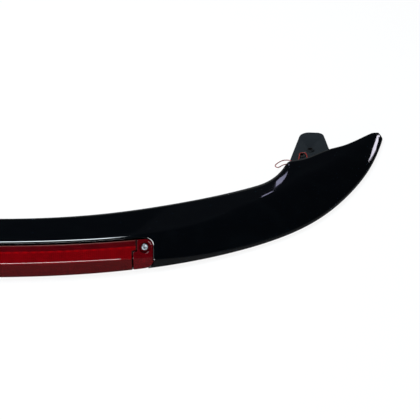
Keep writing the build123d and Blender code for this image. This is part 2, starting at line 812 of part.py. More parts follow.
def bracket_plane(side):
    """Plan axes of a bracket: Y forward along its tongue from the front edge."""
    spot = FRONT_EDGE.position_at(BRACKET_SHARE)
    return Plane(origin=(side * spot.X, spot.Y, 0)) * Rot(0, 0, -side * BRACKET_LEAN)


def bracket_outline(side, grow):
    """Outline of a bracket; its tongue is rounder on the side towards the car's middle."""
    root, tip = BRACKET_ROOT_WIDTH / 2 + grow, BRACKET_TIP_WIDTH / 2 + grow
    inside, reach = -BRACKET_INSIDE - grow, BRACKET_REACH + grow
    points = [(-root, inside), (root, inside), (root, 0), (tip, reach), (-tip, reach), (-root, 0)]
    right, left = BRACKET_TIP_CORNERS[::side]
    corners = 2 * [BRACKET_INNER_CORNER] + [BRACKET_CORNER, right, left, BRACKET_CORNER]
    radii = [corner + grow for corner in corners]
    return make_face(FilletPolyline(*points, radius=radii, close=True))


BRACKET_TOP = FOOT_HEIGHT + BRACKET_THICK


def bracket_spot(side, across, along):
    return (bracket_plane(side) * Pos(side * across, along, 0)).position


LEAD_HOLE = bracket_spot(1, LEAD_HOLE_SIDE, LEAD_HOLE_REACH)


def lift(shape, side, height):
    """Shape moved from a bracket's own axes to a height in the part."""
    return bracket_plane(side) * Pos(0, 0, height) * shape


def bracket(side):
    """Matte tongue: flat plate with a raised boss round its threaded insert."""
    plate = lift(extrude(bracket_outline(side, 0), BRACKET_THICK), side, FOOT_HEIGHT)
    spot = bracket_spot(side, MOUNT_SIDE, MOUNT_REACH)
    boss_foot = BRACKET_TOP - BRACKET_THICK / 2
    plate += upright(MOUNT_BOSS_RADIUS, spot, boss_foot, BRACKET_TOP + MOUNT_BOSS_HEIGHT)
    plate -= upright(MOUNT_INSERT_RADIUS + SEAT_GAP, spot, 0, BRACKET_TOP + CUT_PAST)
    for across, along in BRACKET_SCREW_SPOTS:
        plate -= countersink(
            bracket_spot(side, across, along),
            FOOT_HEIGHT,
            BRACKET_SCREW_RADIUS,
            BRACKET_SCREW_HEAD,
            BRACKET_SCREW_HEAD_DEPTH,
        )
    if side > 0:
        plate -= upright(LEAD_HOLE_RADIUS + SEAT_GAP, LEAD_HOLE, 0, BRACKET_TOP + CUT_PAST)
    return plate


def bracket_insert(side):
    """Brass insert with a flange on top of the boss and an open thread from below."""
    spot = bracket_spot(side, MOUNT_SIDE, MOUNT_REACH)
    top = BRACKET_TOP + MOUNT_BOSS_HEIGHT + SEAT_GAP
    body = upright(MOUNT_INSERT_RADIUS, spot, FOOT_HEIGHT, top)
    body += upright(MOUNT_INSERT_FLANGE, spot, top, top + MOUNT_FLANGE_THICK)
    return body - upright(MOUNT_THREAD_RADIUS, spot, 0, top + CUT_PAST)


def bracket_grommet():
    """Rubber ring in the right bracket's lead hole."""
    body = upright(LEAD_HOLE_RADIUS, LEAD_HOLE, FOOT_HEIGHT, BRACKET_TOP + SEAT_GAP)
    flange_top = BRACKET_TOP + SEAT_GAP + GROMMET_FLANGE
    body += upright(LEAD_HOLE_RADIUS + GROMMET_LIP, LEAD_HOLE, BRACKET_TOP + SEAT_GAP, flange_top)
    return body - upright(GROMMET_BORE, LEAD_HOLE, 0, BRACKET_TOP + CUT_PAST)


def bracket_screw(side, across, along):
    return countersunk_screw(
        bracket_spot(side, across, along),
        FOOT_HEIGHT,
        BRACKET_SCREW_RADIUS,
        BRACKET_SCREW_LENGTH,
        BRACKET_SCREW_HEAD,
        BRACKET_SCREW_HEAD_DEPTH,
    )


def hung_boss(radius, point, bottom, hole_radius, hole_end):
    """Boss from a height up into the middle of the skin above, with its pilot hole."""
    above = OUTER.find_intersection_points(Axis((point.X, point.Y, 0), (0, 0, 1)))[-1]
    skin = Plane(origin=above[0] - above[1] * WALL / 2, z_dir=above[1])
    bar = split(upright(radius, point, bottom, 2 * LIP_HEIGHT), skin, keep=Keep.BOTTOM)
    return bar - upright(hole_radius + SEAT_GAP, point, 0, hole_end)


def bosses():
    """Everything that hangs from the inside of the shell's skin."""
    panel_end = FOOT_HEIGHT + PANEL_SCREW_LENGTH + SCREW_CLEARANCE
    bracket_end = FOOT_HEIGHT + BRACKET_SCREW_LENGTH + SCREW_CLEARANCE
    pieces = []
    for point in BOSS_POINTS:
        pieces.append(hung_boss(BOSS_RADIUS, point, PANEL_TOP + SEAT_GAP, PANEL_SCREW_RADIUS, panel_end))
    for side in SIDES:
        pieces.append(lamp_block(side))
        for spot in BRACKET_SCREW_SPOTS:
            point = bracket_spot(side, *spot)
            seat = BRACKET_TOP + SEAT_GAP
            pieces.append(hung_boss(BRACKET_BOSS_RADIUS, point, seat, BRACKET_SCREW_RADIUS, bracket_end))
    return pieces


def bracket_slot(side):
    """Room for a bracket and for wires over it, through the shell's front edge."""
    height = CUT_PAST + BRACKET_THICK + WIRE_SLOT_HEIGHT
    return lift(extrude(bracket_outline(side, BRACKET_SLOT_GAP), height), side, FOOT_HEIGHT - CUT_PAST)


def upper_shell():
    """Hollow moulded shell with bosses, lamp pocket and a slot over each bracket."""
    shell = OUTER - [HOLLOW, pocket(), bracket_slot(-1), bracket_slot(1)]
    return shell + bosses()


# Flat pieces in the plan: panel, tapes and gaskets

def plan_strip(shares, rear_distance, front_distance, bottom, top):
    """Flat strip between two lines that follow the edges through the given stations."""
    rear, front = [], []
    for share, side in shares:
        rear.append(place_at(share, side, rear_distance(share)))
        front.append(place_at(share, side, front_distance(share)))
    edges = [Spline(*rear), Line(rear[-1], front[-1]), Spline(*front[::-1]), Line(front[0], rear[0])]
    return Pos(0, 0, bottom) * extrude(make_face(edges), top - bottom, dir=(0, 0, 1))


def base_panel():
    """Flat panel inside the shell's rim, open round each bracket."""
    end = HOLLOW_SHARE - 2 * PANEL_GAP / REAR_EDGE.length
    panel = plan_strip(
        both_sides(stations_between(0, end)),
        lambda s: WALL + PANEL_GAP,
        lambda s: station_chord(s) - FRONT_LAND - PANEL_GAP,
        FOOT_HEIGHT,
        PANEL_TOP,
    )
    for side in SIDES:
        panel -= lift(extrude(bracket_outline(side, BRACKET_SLOT_GAP), 2 * CUT_PAST), side, -CUT_PAST)
    for point in BOSS_POINTS:
        panel -= countersink(
            point, FOOT_HEIGHT, PANEL_SCREW_RADIUS, PANEL_SCREW_HEAD, PANEL_SCREW_HEAD_DEPTH
        )
    return panel


def front_tape():
    return plan_strip(
        both_sides(stations_between(0, FRONT_TAPE_SHARE)),
        lambda s: station_chord(s) - TAPE_INSET - TAPE_WIDTH,
        lambda s: station_chord(s) - TAPE_INSET,
        0,
        FOOT_HEIGHT,
    )


def rear_tape():
    return plan_strip(
        both_sides(stations_between(0, REAR_TAPE_SHARE)),
        lambda s: REAR_TAPE_INSET,
        lambda s: REAR_TAPE_INSET + TAPE_WIDTH,
        0,
        FOOT_HEIGHT,
    )


def pad_gasket(side):
    return plan_strip(
        [(s, side) for s in stations_between(GASKET_START, GASKET_END)],
        lambda s: GASKET_INSET,
        lambda s: GASKET_INSET + TAPE_WIDTH,
        0,
        FOOT_HEIGHT,
    )


# Lamp lead and wires: points chosen by hand along the run, from the gland to the plug

BUSH_WAY = on_circle(1, 90 + BUSH_TURN)
BUSH_SIDE = on_circle(1, BUSH_TURN)
BUSH_FRONT = Vector(*BUSH_SPOT) + BUSH_WAY * BUSH_LENGTH / 2
BUSH_BACK = Vector(*BUSH_SPOT) - BUSH_WAY * BUSH_LENGTH / 2
RED_START = BUSH_FRONT - BUSH_SIDE * WIRE_SPREAD / 2
BLACK_START = BUSH_FRONT + BUSH_SIDE * WIRE_SPREAD / 2
RED_END = Vector(*PLUG_SPOT) + Vector(WIRE_SPREAD / 2, 0)
BLACK_END = Vector(*PLUG_SPOT) - Vector(WIRE_SPREAD / 2, 0)

# Wires, in the right bracket's places
RED_ROUTE = [
    RED_START,
    RED_START + BUSH_WAY * RED_STRAIGHT,
    Vector(-43.6, -19.6, 2.5),
    Vector(-51.1, -29.8, 2.5),
    Vector(-57.0, -24.0, 2.5),
    Vector(-50.9, -14.2, 2.5),
    Vector(-43.8, -7.2, 2.5),
    Vector(-33.9, -6.4, 2.5),
    Vector(-26.6, -11.7, 2.5),
    Vector(-20.6, -9.0, 2.8),
    Vector(-19.2, 3.0, 3.0),
    Vector(-18.8, 14.7, 3.0),
    Vector(-8.8, 15.3, 3.0),
    Vector(-7.5, 1.4, 3.0),
    Vector(-2.2, -19.4, 3.0),
    RED_END + Vector(0, PLUG_STRAIGHT),
    RED_END,
]
BLACK_ROUTE = [
    BLACK_START,
    BLACK_START + BUSH_WAY * BLACK_STRAIGHT,
    Vector(-23.0, -15.6, 2.5),
    Vector(-12.5, -14.6, 2.5),
    Vector(-7.0, -24.5, 3.0),
    BLACK_END + Vector(0, PLUG_STRAIGHT),
    BLACK_END,
]

# Lead inside the shell: share of the rear edge, distance in from it, height over the panel
LEAD_RUN = (
    (0.222, 69.7, 6.5),
    (0.278, 64.5, 4.5),
    (0.352, 61.8, 4.5),
    (0.423, 61.8, 4.5),
    (0.501, 64.4, 4.5),
    (0.574, 71.7, 4.5),
    (0.644, 83.5, 4.5),
)


def lead_route():
    bush_back = lift(Pos(BUSH_BACK), 1, BRACKET_TOP).position
    bush_mouth = lift(Pos(BUSH_BACK - BUSH_WAY * LEAD_STRAIGHT), 1, BRACKET_TOP).position
    inside = [place_at(share, 1, along, PANEL_TOP + rise) for share, along, rise in LEAD_RUN]
    return [GLAND_END, GLAND_END + Vector(0, LEAD_STRAIGHT), *inside, bush_mouth, bush_back]


def cord(route, radius):
    """Round cord along straight runs joined by arcs."""
    radii = []
    for before, corner, after in zip(route, route[1:], route[2:]):
        radii.append(fitting_radius(before, corner, after, *CORD_ROOM))
    path = FilletPolyline(*route, radius=radii)
    start = Plane(origin=route[0], z_dir=route[1] - route[0])
    return sweep(start * Circle(radius), path=path)


def on_bracket(shape):
    """Shape moved from the right bracket's places into the part."""
    return lift(shape, 1, BRACKET_TOP)


def lamp_gland():
    """Rubber cable outlet on the back of the housing."""
    bar = gland_bar(GLAND_RADIUS) - HOUSING_BODY
    return bar.solids().sort_by(Axis.Y)[-1]


def lead_bush():
    """Block on the bracket where the sheath ends and the two wires come out."""
    size = (BUSH_WIDTH, BUSH_LENGTH, BUSH_HEIGHT)
    block = Box(*size, align=(Align.CENTER, Align.CENTER, Align.MIN))
    block = fillet(block.edges().filter_by(Axis.Y).group_by(Axis.Z)[-1], BUSH_ROUNDING)
    return on_bracket(Pos(BUSH_SPOT[0], BUSH_SPOT[1], SEAT_GAP) * Rot(0, 0, BUSH_TURN) * block)


def lead_clip(run):
    """Clip on the panel that holds the lead at the middle of a run."""
    start, end = lead_route()[run : run + 2]
    middle = (start + end) * 0.5
    plane = Plane(origin=middle, x_dir=end - start, z_dir=(0, 0, 1))
    low = PANEL_TOP + SEAT_GAP - middle.Z
    on_panel = (Align.CENTER, Align.CENTER, Align.MIN)
    foot = Pos(0, 0, low) * Box(CLIP_WIDTH, CLIP_FOOT, CLIP_WALL, align=on_panel)
    stem = Pos(0, 0, low) * Box(CLIP_WIDTH, CLIP_STEM, -low, align=on_panel)
    ring = Rot(0, 90, 0) * Cylinder(LEAD_RADIUS + CLIP_WALL, CLIP_WIDTH)
    hole = Rot(0, 90, 0) * Cylinder(LEAD_RADIUS + SEAT_GAP, 2 * CLIP_WIDTH)
    return plane * (foot + stem + ring - hole)


def lead_connector():
    """Two-way plug that lies on the panel inside the horn."""
    foot = PANEL_TOP + SEAT_GAP - BRACKET_TOP
    size = (PLUG_WIDTH, PLUG_LENGTH, PLUG_HEIGHT)
    body = Box(*size, align=(Align.CENTER, Align.MAX, Align.MIN))
    body = fillet(body.edges().filter_by(Axis.Y), PLUG_ROUNDING)
    hollow = (PLUG_WIDTH - 2 * PLUG_WALL, PLUG_LENGTH / 2, PLUG_HEIGHT - 2 * PLUG_WALL)
    body -= Pos(0, -PLUG_LENGTH, PLUG_WALL) * Box(*hollow, align=(Align.CENTER, Align.MIN, Align.MIN))
    return on_bracket(Pos(PLUG_SPOT[0], PLUG_SPOT[1], foot) * body)


def connector_terminal(step):
    """Flat pin that stands out into the plug's hollow."""
    pin = Box(TERMINAL_WIDTH, TERMINAL_LENGTH, TERMINAL_THICK, align=(Align.CENTER, Align.MAX, Align.CENTER))
    return on_bracket(Pos(PLUG_SPOT) * Pos(step * WIRE_SPREAD / 2, -PLUG_LENGTH / 2, 0) * pin)


NODES = {
    "upper_shell": upper_shell(),
    "base_panel": base_panel(),
    "base_screws": group(panel_screw(point) for point in BOSS_POINTS),
    "lens": LENS,
    "lens_end_left": lens_end(-1),
    "lens_end_right": lens_end(1),
    "lamp_housing": lamp_housing(),
    "lamp_gasket": lamp_gasket(),
    "reflector": reflector(),
    "led_board": led_board(),
    "leds": leds(),
    "board_resistors": board_resistors(),
    "lamp_screws": group(lamp_screw(side) for side in SIDES),
    "lamp_screw_inserts": group(lamp_screw_insert(side) for side in SIDES),
    "bracket_left": bracket(-1),
    "bracket_right": bracket(1),
    "bracket_inserts": group(bracket_insert(side) for side in SIDES),
    "bracket_screws": group(bracket_screw(side, *spot) for side in SIDES for spot in BRACKET_SCREW_SPOTS),
    "bracket_grommet": bracket_grommet(),
    "front_tape": front_tape(),
    "rear_tape": rear_tape(),
    "pad_gasket_left": pad_gasket(-1),
    "pad_gasket_right": pad_gasket(1),
    "lamp_gland": lamp_gland(),
    "lamp_lead": cord(lead_route(), LEAD_RADIUS),
    "lead_clips": group(lead_clip(run) for run in CLIP_RUNS),
    "lead_bush": lead_bush(),
    "wire_red": on_bracket(cord(RED_ROUTE, WIRE_RADIUS)),
    "wire_black": on_bracket(cord(BLACK_ROUTE, WIRE_RADIUS)),
    "lead_connector": lead_connector(),
    "connector_terminals": group(connector_terminal(side) for side in SIDES),
}

# The part's origin is the middle of its plan, on the surface that it sits on
os.makedirs("parts", exist_ok=True)
REARMOST = NODES["lens"].bounding_box().min.Y
FOREMOST = NODES["bracket_right"].bounding_box().max.Y
CENTRE_Y = (REARMOST + FOREMOST) / 2
for name, shape in NODES.items():
    export_step(Pos(0, -CENTRE_Y, 0) * shape, f"parts/{name}.step")
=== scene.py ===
import math

import bmesh
import bpy
import numpy as np
from mathutils import Matrix, Vector


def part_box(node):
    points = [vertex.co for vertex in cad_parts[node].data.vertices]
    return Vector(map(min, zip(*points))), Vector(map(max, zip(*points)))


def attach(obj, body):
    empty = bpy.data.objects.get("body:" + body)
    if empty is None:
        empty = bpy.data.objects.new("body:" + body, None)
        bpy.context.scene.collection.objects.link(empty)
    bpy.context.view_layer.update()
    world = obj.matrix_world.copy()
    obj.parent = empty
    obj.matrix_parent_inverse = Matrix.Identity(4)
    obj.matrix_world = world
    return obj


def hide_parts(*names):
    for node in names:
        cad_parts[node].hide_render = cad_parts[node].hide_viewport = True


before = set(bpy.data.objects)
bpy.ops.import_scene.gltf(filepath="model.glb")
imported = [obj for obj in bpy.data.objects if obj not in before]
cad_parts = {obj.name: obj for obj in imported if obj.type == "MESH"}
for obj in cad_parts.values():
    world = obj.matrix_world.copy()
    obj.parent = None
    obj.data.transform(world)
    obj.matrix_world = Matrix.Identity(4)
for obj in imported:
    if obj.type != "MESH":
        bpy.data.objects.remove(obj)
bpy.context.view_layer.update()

# Upper shell: the painted body of the spoiler, one hollow moulding in black ABS, polished to a mirror.
# A blade runs across the boot lid and sweeps forward at each end into a horn that lies on the wing.
# Its rear wall is open under the lip for the lamp, and its rim stands on the car's paint.
HALF_SPAN = 0.5788
REACH = 0.360
CHORD = 0.133
TIP_RADIUS = 0.011
TIP_FLAT = 0.006
TIP_STEPS = 80
REAR_TIP_ANGLE = -15.0
FRONT_TIP_ANGLE = 131.0
REAR_SHAPE = (
    (0.370, 0.052), (0.607, 0.171), (0.781, 0.343), (0.891, 0.558), (0.954, 0.748), (0.976, 0.840),
)
BLADE_SHAPE = ((0.262, 0.043), (0.460, 0.153), (0.636, 0.305))
NOTCH_SHAPE = ((0.675, 0.358), (0.703, 0.431), (0.728, 0.547), (0.7415, 0.606), (0.767, 0.630))
PAD_SHAPE = ((0.797, 0.667), (0.852, 0.760), (0.882, 0.798))
BLADE_END = 0.52
PAD_START = 0.835
FRONT_TAPE_BACK = 0.124
REAR_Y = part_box("front_tape")[0].y - FRONT_TAPE_BACK

TIP_CENTRE = np.array((HALF_SPAN - TIP_RADIUS, REACH - TIP_RADIUS))
TIP_ANGLE = (REAR_TIP_ANGLE + FRONT_TIP_ANGLE) / 2


def on_circle(radius, angle):
    return radius * np.array((math.cos(math.radians(angle)), math.sin(math.radians(angle))))


def smooth_run(knots, start_way, end_way, steps=300):
    """Points along the even curve through a few plan points, with a given way at each end."""
    spans = np.linalg.norm(np.diff(knots, axis=0), axis=1)
    count = len(knots)
    system, wanted = np.eye(count), np.zeros((count, 2))
    wanted[0], wanted[-1] = start_way, end_way
    for i in range(1, count - 1):
        before, after = spans[i - 1], spans[i]
        system[i, i - 1 : i + 2] = 1 / before, 2 / before + 2 / after, 1 / after
        wanted[i] = 3 * (knots[i] - knots[i - 1]) / before**2 + 3 * (knots[i + 1] - knots[i]) / after**2
    ways = np.linalg.solve(system, wanted)
    points = []
    for i in range(count - 1):
        t = np.linspace(0, 1, steps, endpoint=False)[:, None]
        points.append(
            (2 * t**3 - 3 * t**2 + 1) * knots[i]
            + (t**3 - 2 * t**2 + t) * spans[i] * ways[i]
            + (3 * t**2 - 2 * t**3) * knots[i + 1]
            + (t**3 - t**2) * spans[i] * ways[i + 1]
        )
    return np.vstack(points)


def plan_edge(start, shape, base, end_angle):
    """Line in plan from the centre to the tip's middle: points, their shares of its length, its length."""
    knots = [(0, start)] + [(x * HALF_SPAN, base + y * (REACH - base)) for x, y in shape]
    knots.append(TIP_CENTRE + on_circle(TIP_RADIUS, end_angle))
    turn = math.copysign(90, TIP_ANGLE - end_angle)
    run = smooth_run(np.array(knots), np.array((1, 0)), on_circle(1, end_angle + turn))
    arc = [TIP_CENTRE + on_circle(TIP_RADIUS, a) for a in np.linspace(end_angle, TIP_ANGLE, TIP_STEPS)]
    points = np.vstack([run, arc])
    lengths = np.insert(np.cumsum(np.linalg.norm(np.diff(points, axis=0), axis=1)), 0, 0)
    return points, lengths / lengths[-1], lengths[-1]


REAR_EDGE = plan_edge(0, REAR_SHAPE, 0, REAR_TIP_ANGLE)
FRONT_EDGE = plan_edge(CHORD, BLADE_SHAPE + NOTCH_SHAPE + PAD_SHAPE, CHORD, FRONT_TIP_ANGLE)


def along_edge(edge, share):
    points, shares = edge[:2]
    return np.array((np.interp(share, shares, points[:, 0]), np.interp(share, shares, points[:, 1])))


def share_at_x(edge, x):
    points, shares = edge[:2]
    rising = points[:, 0] < HALF_SPAN - TIP_RADIUS
    return np.interp(x, points[rising, 0], shares[rising])


def tip_share(edge):
    return 1 - math.asin(TIP_FLAT / 2 / TIP_RADIUS) * TIP_RADIUS / edge[2]


RAILS = np.array((
    (0, 0),
    (share_at_x(REAR_EDGE, BLADE_END * HALF_SPAN), share_at_x(FRONT_EDGE, BLADE_END * HALF_SPAN)),
    (share_at_x(REAR_EDGE, PAD_START * HALF_SPAN), share_at_x(FRONT_EDGE, NOTCH_SHAPE[-1][0] * HALF_SPAN)),
    (tip_share(REAR_EDGE), tip_share(FRONT_EDGE)),
))
PAD_SHARE = RAILS[2, 0]
TIP_SHARE = RAILS[3, 0]

FOOT_HEIGHT = 0.002
LIP_HEIGHT = 0.05287
HORN_HEIGHT = 0.033
TIP_HEIGHT = 0.012
LIP_SETBACK = 0.0138
CROWN_SHARE = 0.42
LAMP_CREASE_HEIGHT = 0.024
HORN_CREASE_HEIGHT = 0.010
TIP_CREASE_DROP = 0.55
TIP_CREASE_POWER = 8
CREASE_OVERHANG = 0.00497
TIP_OVERHANG_DROP = 0.8
BLADE_EDGE_HEIGHT = 0.007
PAD_EDGE_HEIGHT = 0.0165
TIP_EDGE_HEIGHT = 0.009
LIP_RADIUS = 0.004
CROWN_RADIUS = 0.060
CREASE_RADIUS = 0.003
EDGE_RADIUS = 0.0045
CREASE_ROOM = (0.6, 0.2)
LIP_ROOM = (0.7, 0.7)
EDGE_ROOM = (0.2, 0.7)
CREASE_FADE = 0.36
LIP_FADE = 0.45
LIP_FADE_POWER = 10
SETBACK_FADE = 0.52
SETBACK_FADE_POWER = 8


def station(share):
    """Rear point of a section's plan line, its direction and its length."""
    rear = along_edge(REAR_EDGE, share)
    front = along_edge(FRONT_EDGE, np.interp(share, RAILS[:, 0], RAILS[:, 1]))
    chord = np.linalg.norm(front - rear)
    return rear, (front - rear) / chord, chord


def in_part(share, side, points):
    """Places in the part of points of a section: how far forward each lies, and how high."""
    rear, way = station(share)[:2]
    plans = [rear + way * forward for forward, height in points]
    return [Vector((side * x, y + REAR_Y, point[1])) for (x, y), point in zip(plans, points)]


def even_curve(share, centre, pad, end):
    square = PAD_SHARE**2
    fourth = ((pad - centre) / square - (end - centre)) / (square - 1)
    return centre + (end - centre - fourth) * share**2 + fourth * share**4


def fade(share, width, power=4):
    return math.exp(-((share / width) ** power))


def section_corners(share):
    """Foot, crease, lip, front edge and front foot of a section."""
    chord = station(share)[2]
    lip_z = even_curve(share, LIP_HEIGHT, HORN_HEIGHT, TIP_HEIGHT)
    edge_z = even_curve(share, BLADE_EDGE_HEIGHT, PAD_EDGE_HEIGHT, TIP_EDGE_HEIGHT)
    rise = LAMP_CREASE_HEIGHT - HORN_CREASE_HEIGHT
    crease_rise = HORN_CREASE_HEIGHT + rise * fade(share, CREASE_FADE) - FOOT_HEIGHT
    crease_z = FOOT_HEIGHT + crease_rise * (1 - TIP_CREASE_DROP * share**TIP_CREASE_POWER)
    overhang = CREASE_OVERHANG * (1 - TIP_OVERHANG_DROP * share**2)
    setback = CROWN_SHARE * chord
    setback += (LIP_SETBACK - setback) * fade(share, SETBACK_FADE, SETBACK_FADE_POWER)
    foot, crease, lip = (0, FOOT_HEIGHT), (-overhang, crease_z), (setback, lip_z)
    edge, front_foot = (chord, edge_z), (chord, FOOT_HEIGHT)
    return [np.array(corner) for corner in (foot, crease, lip, edge, front_foot)]


def unit(vector):
    return vector / np.linalg.norm(vector)


def turn_at(before, corner, after):
    cosine = np.dot(unit(corner - before), unit(after - corner))
    return math.acos(max(-1, min(1, cosine)))


def fitting_radius(before, corner, after, share_before, share_after):
    """Largest rounding of a corner that uses no more than a share of the lines before and after it."""
    room = min(share_before * np.linalg.norm(corner - before), share_after * np.linalg.norm(after - corner))
    return room / math.tan(turn_at(before, corner, after) / 2)


def section_radii(share, corners):
    """Rounding at the crease, the lip and the front edge."""
    lip = CROWN_RADIUS + (LIP_RADIUS - CROWN_RADIUS) * fade(share, LIP_FADE, LIP_FADE_POWER)
    return (
        min(CREASE_RADIUS, fitting_radius(*corners[0:3], *CREASE_ROOM)),
        min(lip, fitting_radius(*corners[1:4], *LIP_ROOM)),
        min(EDGE_RADIUS, fitting_radius(*corners[2:5], *EDGE_ROOM)),
    )


def rounding(before, corner, after, radius, steps):
    """Points of the arc that rounds a corner, from the line before to the line after."""
    turn = turn_at(before, corner, after)
    back, ahead = unit(before - corner), unit(after - corner)
    centre = corner + unit(back + ahead) * radius / math.cos(turn / 2)
    start = corner + back * radius * math.tan(turn / 2) - centre
    end = corner + ahead * radius * math.tan(turn / 2) - centre
    shares = np.linspace(0, 1, steps)
    arms = [math.sin((1 - f) * turn) * start + math.sin(f * turn) * end for f in shares]
    return [centre + arm / math.sin(turn) for arm in arms]


def between(start, end, shares):
    return [start + (end - start) * f for f in shares]


LAMP_HALF = 0.2325
LENS_LOW_CORNER = 0.012
LENS_FOOT = 0.0022
RIM_ROUND = 0.0018
RIM_ROUND_TOP = 0.0003
RIM_ROUND_FOOT = 0.0006
RIM_GAP = 0.0004
RIM_SOFTENS_OUT = (LAMP_HALF - 0.020, LAMP_HALF - 0.009)
RIM_SOFTENS_UP = (0.006, 0.016)
OPENING_TOP = 0.0032
OPENING_HALF = LAMP_HALF + RIM_ROUND + RIM_GAP
OPENING_CORNER = 0.016
OPENING_LOW_CORNER = LENS_LOW_CORNER + RIM_ROUND_FOOT + RIM_GAP
OPENING_LOW_CENTRE = LENS_FOOT + LENS_LOW_CORNER - FOOT_HEIGHT
WALL = 0.003
FRONT_LAND = 0.010
HOLLOW_SHARE = 0.88
HOLLOW_EASE = 0.008
RIM_INSIDE = 0.008
SLOT_TOP = 0.011
SLOT_RANGE = (0.1, 0.9)
SHELL_COLUMNS = 520
TIP_CROWDING = 1.3
SHARE_STEP = 0.01
LOW_ROWS = 9
CREASE_ROWS = 6
FACE_ROWS = 13
LIP_ROWS = 12
LIP_STEPS = 60
TOP_ROWS = 20
SHOULDER_ROWS = 7
SHOULDER = 0.011
SHOULDER_SLOPE = 0.105
SHOULDER_FADE = 0.06
SHOULDER_MOST = 0.25
EDGE_ROWS = 8
FOOT_ROW = 2
CREASE_ROW = FOOT_ROW + LOW_ROWS
RIM_ROW = CREASE_ROW + CREASE_ROWS + FACE_ROWS - 1
SLOT_ROW = RIM_ROW + LIP_ROWS + TOP_ROWS + EDGE_ROWS


def spread(points, count):
    """Places an even way apart along a line of points, without the first."""
    runs = np.insert(np.cumsum(np.linalg.norm(np.diff(points, axis=0), axis=1)), 0, 0)
    marks = np.linspace(0, runs[-1], count + 1)[1:]
    return [np.array([np.interp(mark, runs, [p[k] for p in points]) for k in (0, 1)]) for mark in marks]


def lip_profile(share):
    """Close points up a section's rear face and over its lip, and how far below the lip each lies."""
    corners = section_corners(share)
    foot, crease, lip, edge = corners[:4]
    crease_radius, lip_radius = section_radii(share, corners)[:2]
    points = rounding(foot, crease, lip, crease_radius, 2)[-1:]
    points += rounding(crease, lip, edge, lip_radius, LIP_STEPS)
    return points, [(lip - point) @ unit(lip - crease) for point in points]


def face_spot(share, drop):
    """Point of a section's rear face, a drop below the lip, on the skin, and its place in the profile."""
    points, drops = lip_profile(share)
    rising = np.argmin(drops) + 1
    place = np.interp(-drop, [-d for d in drops[:rising]], range(rising))
    spot = [np.interp(place, range(rising), [p[k] for p in points[:rising]]) for k in (0, 1)]
    return np.array(spot), place


def skin_section(share):
    """Outline of the shell's skin, from inside its rear rim over the lip to inside its front rim."""
    foot, crease, lip, edge, front_foot = corners = section_corners(share)
    crease_radius, _, edge_radius = section_radii(share, corners)
    crease_arc = rounding(foot, crease, lip, crease_radius, CREASE_ROWS)
    edge_arc = rounding(lip, edge, front_foot, edge_radius, EDGE_ROWS)
    profile = lip_profile(share)[0]
    rim, place = face_spot(share, OPENING_TOP)
    split = int(place) + 1
    hollow = min(max((HOLLOW_SHARE + HOLLOW_EASE / 2 - share) / HOLLOW_EASE, 0), 1)
    middle = np.array((front_foot[0] / 2, FOOT_HEIGHT))
    rear_inside = middle + (foot + (WALL, 0) - middle) * hollow
    front_inside = middle + (front_foot - (FRONT_LAND, 0) - middle) * hollow
    rise = np.array((0, RIM_INSIDE * hollow))
    run = np.linalg.norm(edge_arc[0] - profile[-1])
    shoulder = min(SHOULDER / run, SHOULDER_MOST)
    easing = np.linspace(0, 1, SHOULDER_ROWS + 1)[:-1]
    turn = between(profile[-1], edge_arc[0], 1 - shoulder * (1 - easing))
    tip_ease = min((TIP_SHARE - share) / SHOULDER_FADE, 1)
    sink = np.array((0, -SHOULDER_SLOPE * shoulder * run * tip_ease))
    edge_arc = [point + sink for point in edge_arc]
    edge_low = edge_arc[-1][1]
    wall_top = np.clip((edge_low - SLOT_TOP) / (edge_low - FOOT_HEIGHT), *SLOT_RANGE)
    return (
        [rear_inside + rise, rear_inside, foot]
        + between(foot, crease_arc[0], np.linspace(0, 1, LOW_ROWS + 1)[1:-1])
        + crease_arc
        + spread(profile[:split] + [rim], FACE_ROWS)
        + spread([rim] + profile[split:], LIP_ROWS)
        + between(profile[-1], turn[0], np.linspace(0, 1, TOP_ROWS - SHOULDER_ROWS + 1)[1:-1])
        + [point + sink * f**2 for point, f in zip(turn, easing)]
        + edge_arc
        + between(edge_arc[-1], front_foot, (wall_top, 1))
        + [front_inside, front_inside + rise]
    )


def mapped_sheet(lines, *layers):
    """Sheet of quads between lines of places, and the line and row of each of its points."""
    columns, rows = len(lines) - 1, len(lines[0]) - 1
    sheet = bmesh.new()
    for name in layers:
        sheet.verts.layers.float.new(name)
    bmesh.ops.create_grid(sheet, x_segments=columns, y_segments=rows, size=1)
    spots = {}
    for vertex in sheet.verts:
        column, row = (round((c + 1) / 2 * n) for c, n in zip(vertex.co, (columns, rows)))
        spots[vertex] = column, row
        vertex.co = lines[column][row]
    return sheet, spots


def column_share(column):
    """Share of the rear edge at a column, and its side; columns stand closer near the tips."""
    out = 2 * column / SHELL_COLUMNS - 1
    return TIP_SHARE * (1 - (1 - abs(out)) ** TIP_CROWDING), math.copysign(1, out)


def out_at_x(x, points_of):
    """Places where lines along the part, given by their points in each section, come out to x."""
    side = math.copysign(1, x)
    share = share_at_x(REAR_EDGE, abs(x))
    near, far = (in_part(s, side, points_of(s)) for s in (share, share + SHARE_STEP))
    return [a.lerp(b, (x - a.x) / (b.x - a.x)) for a, b in zip(near, far)]


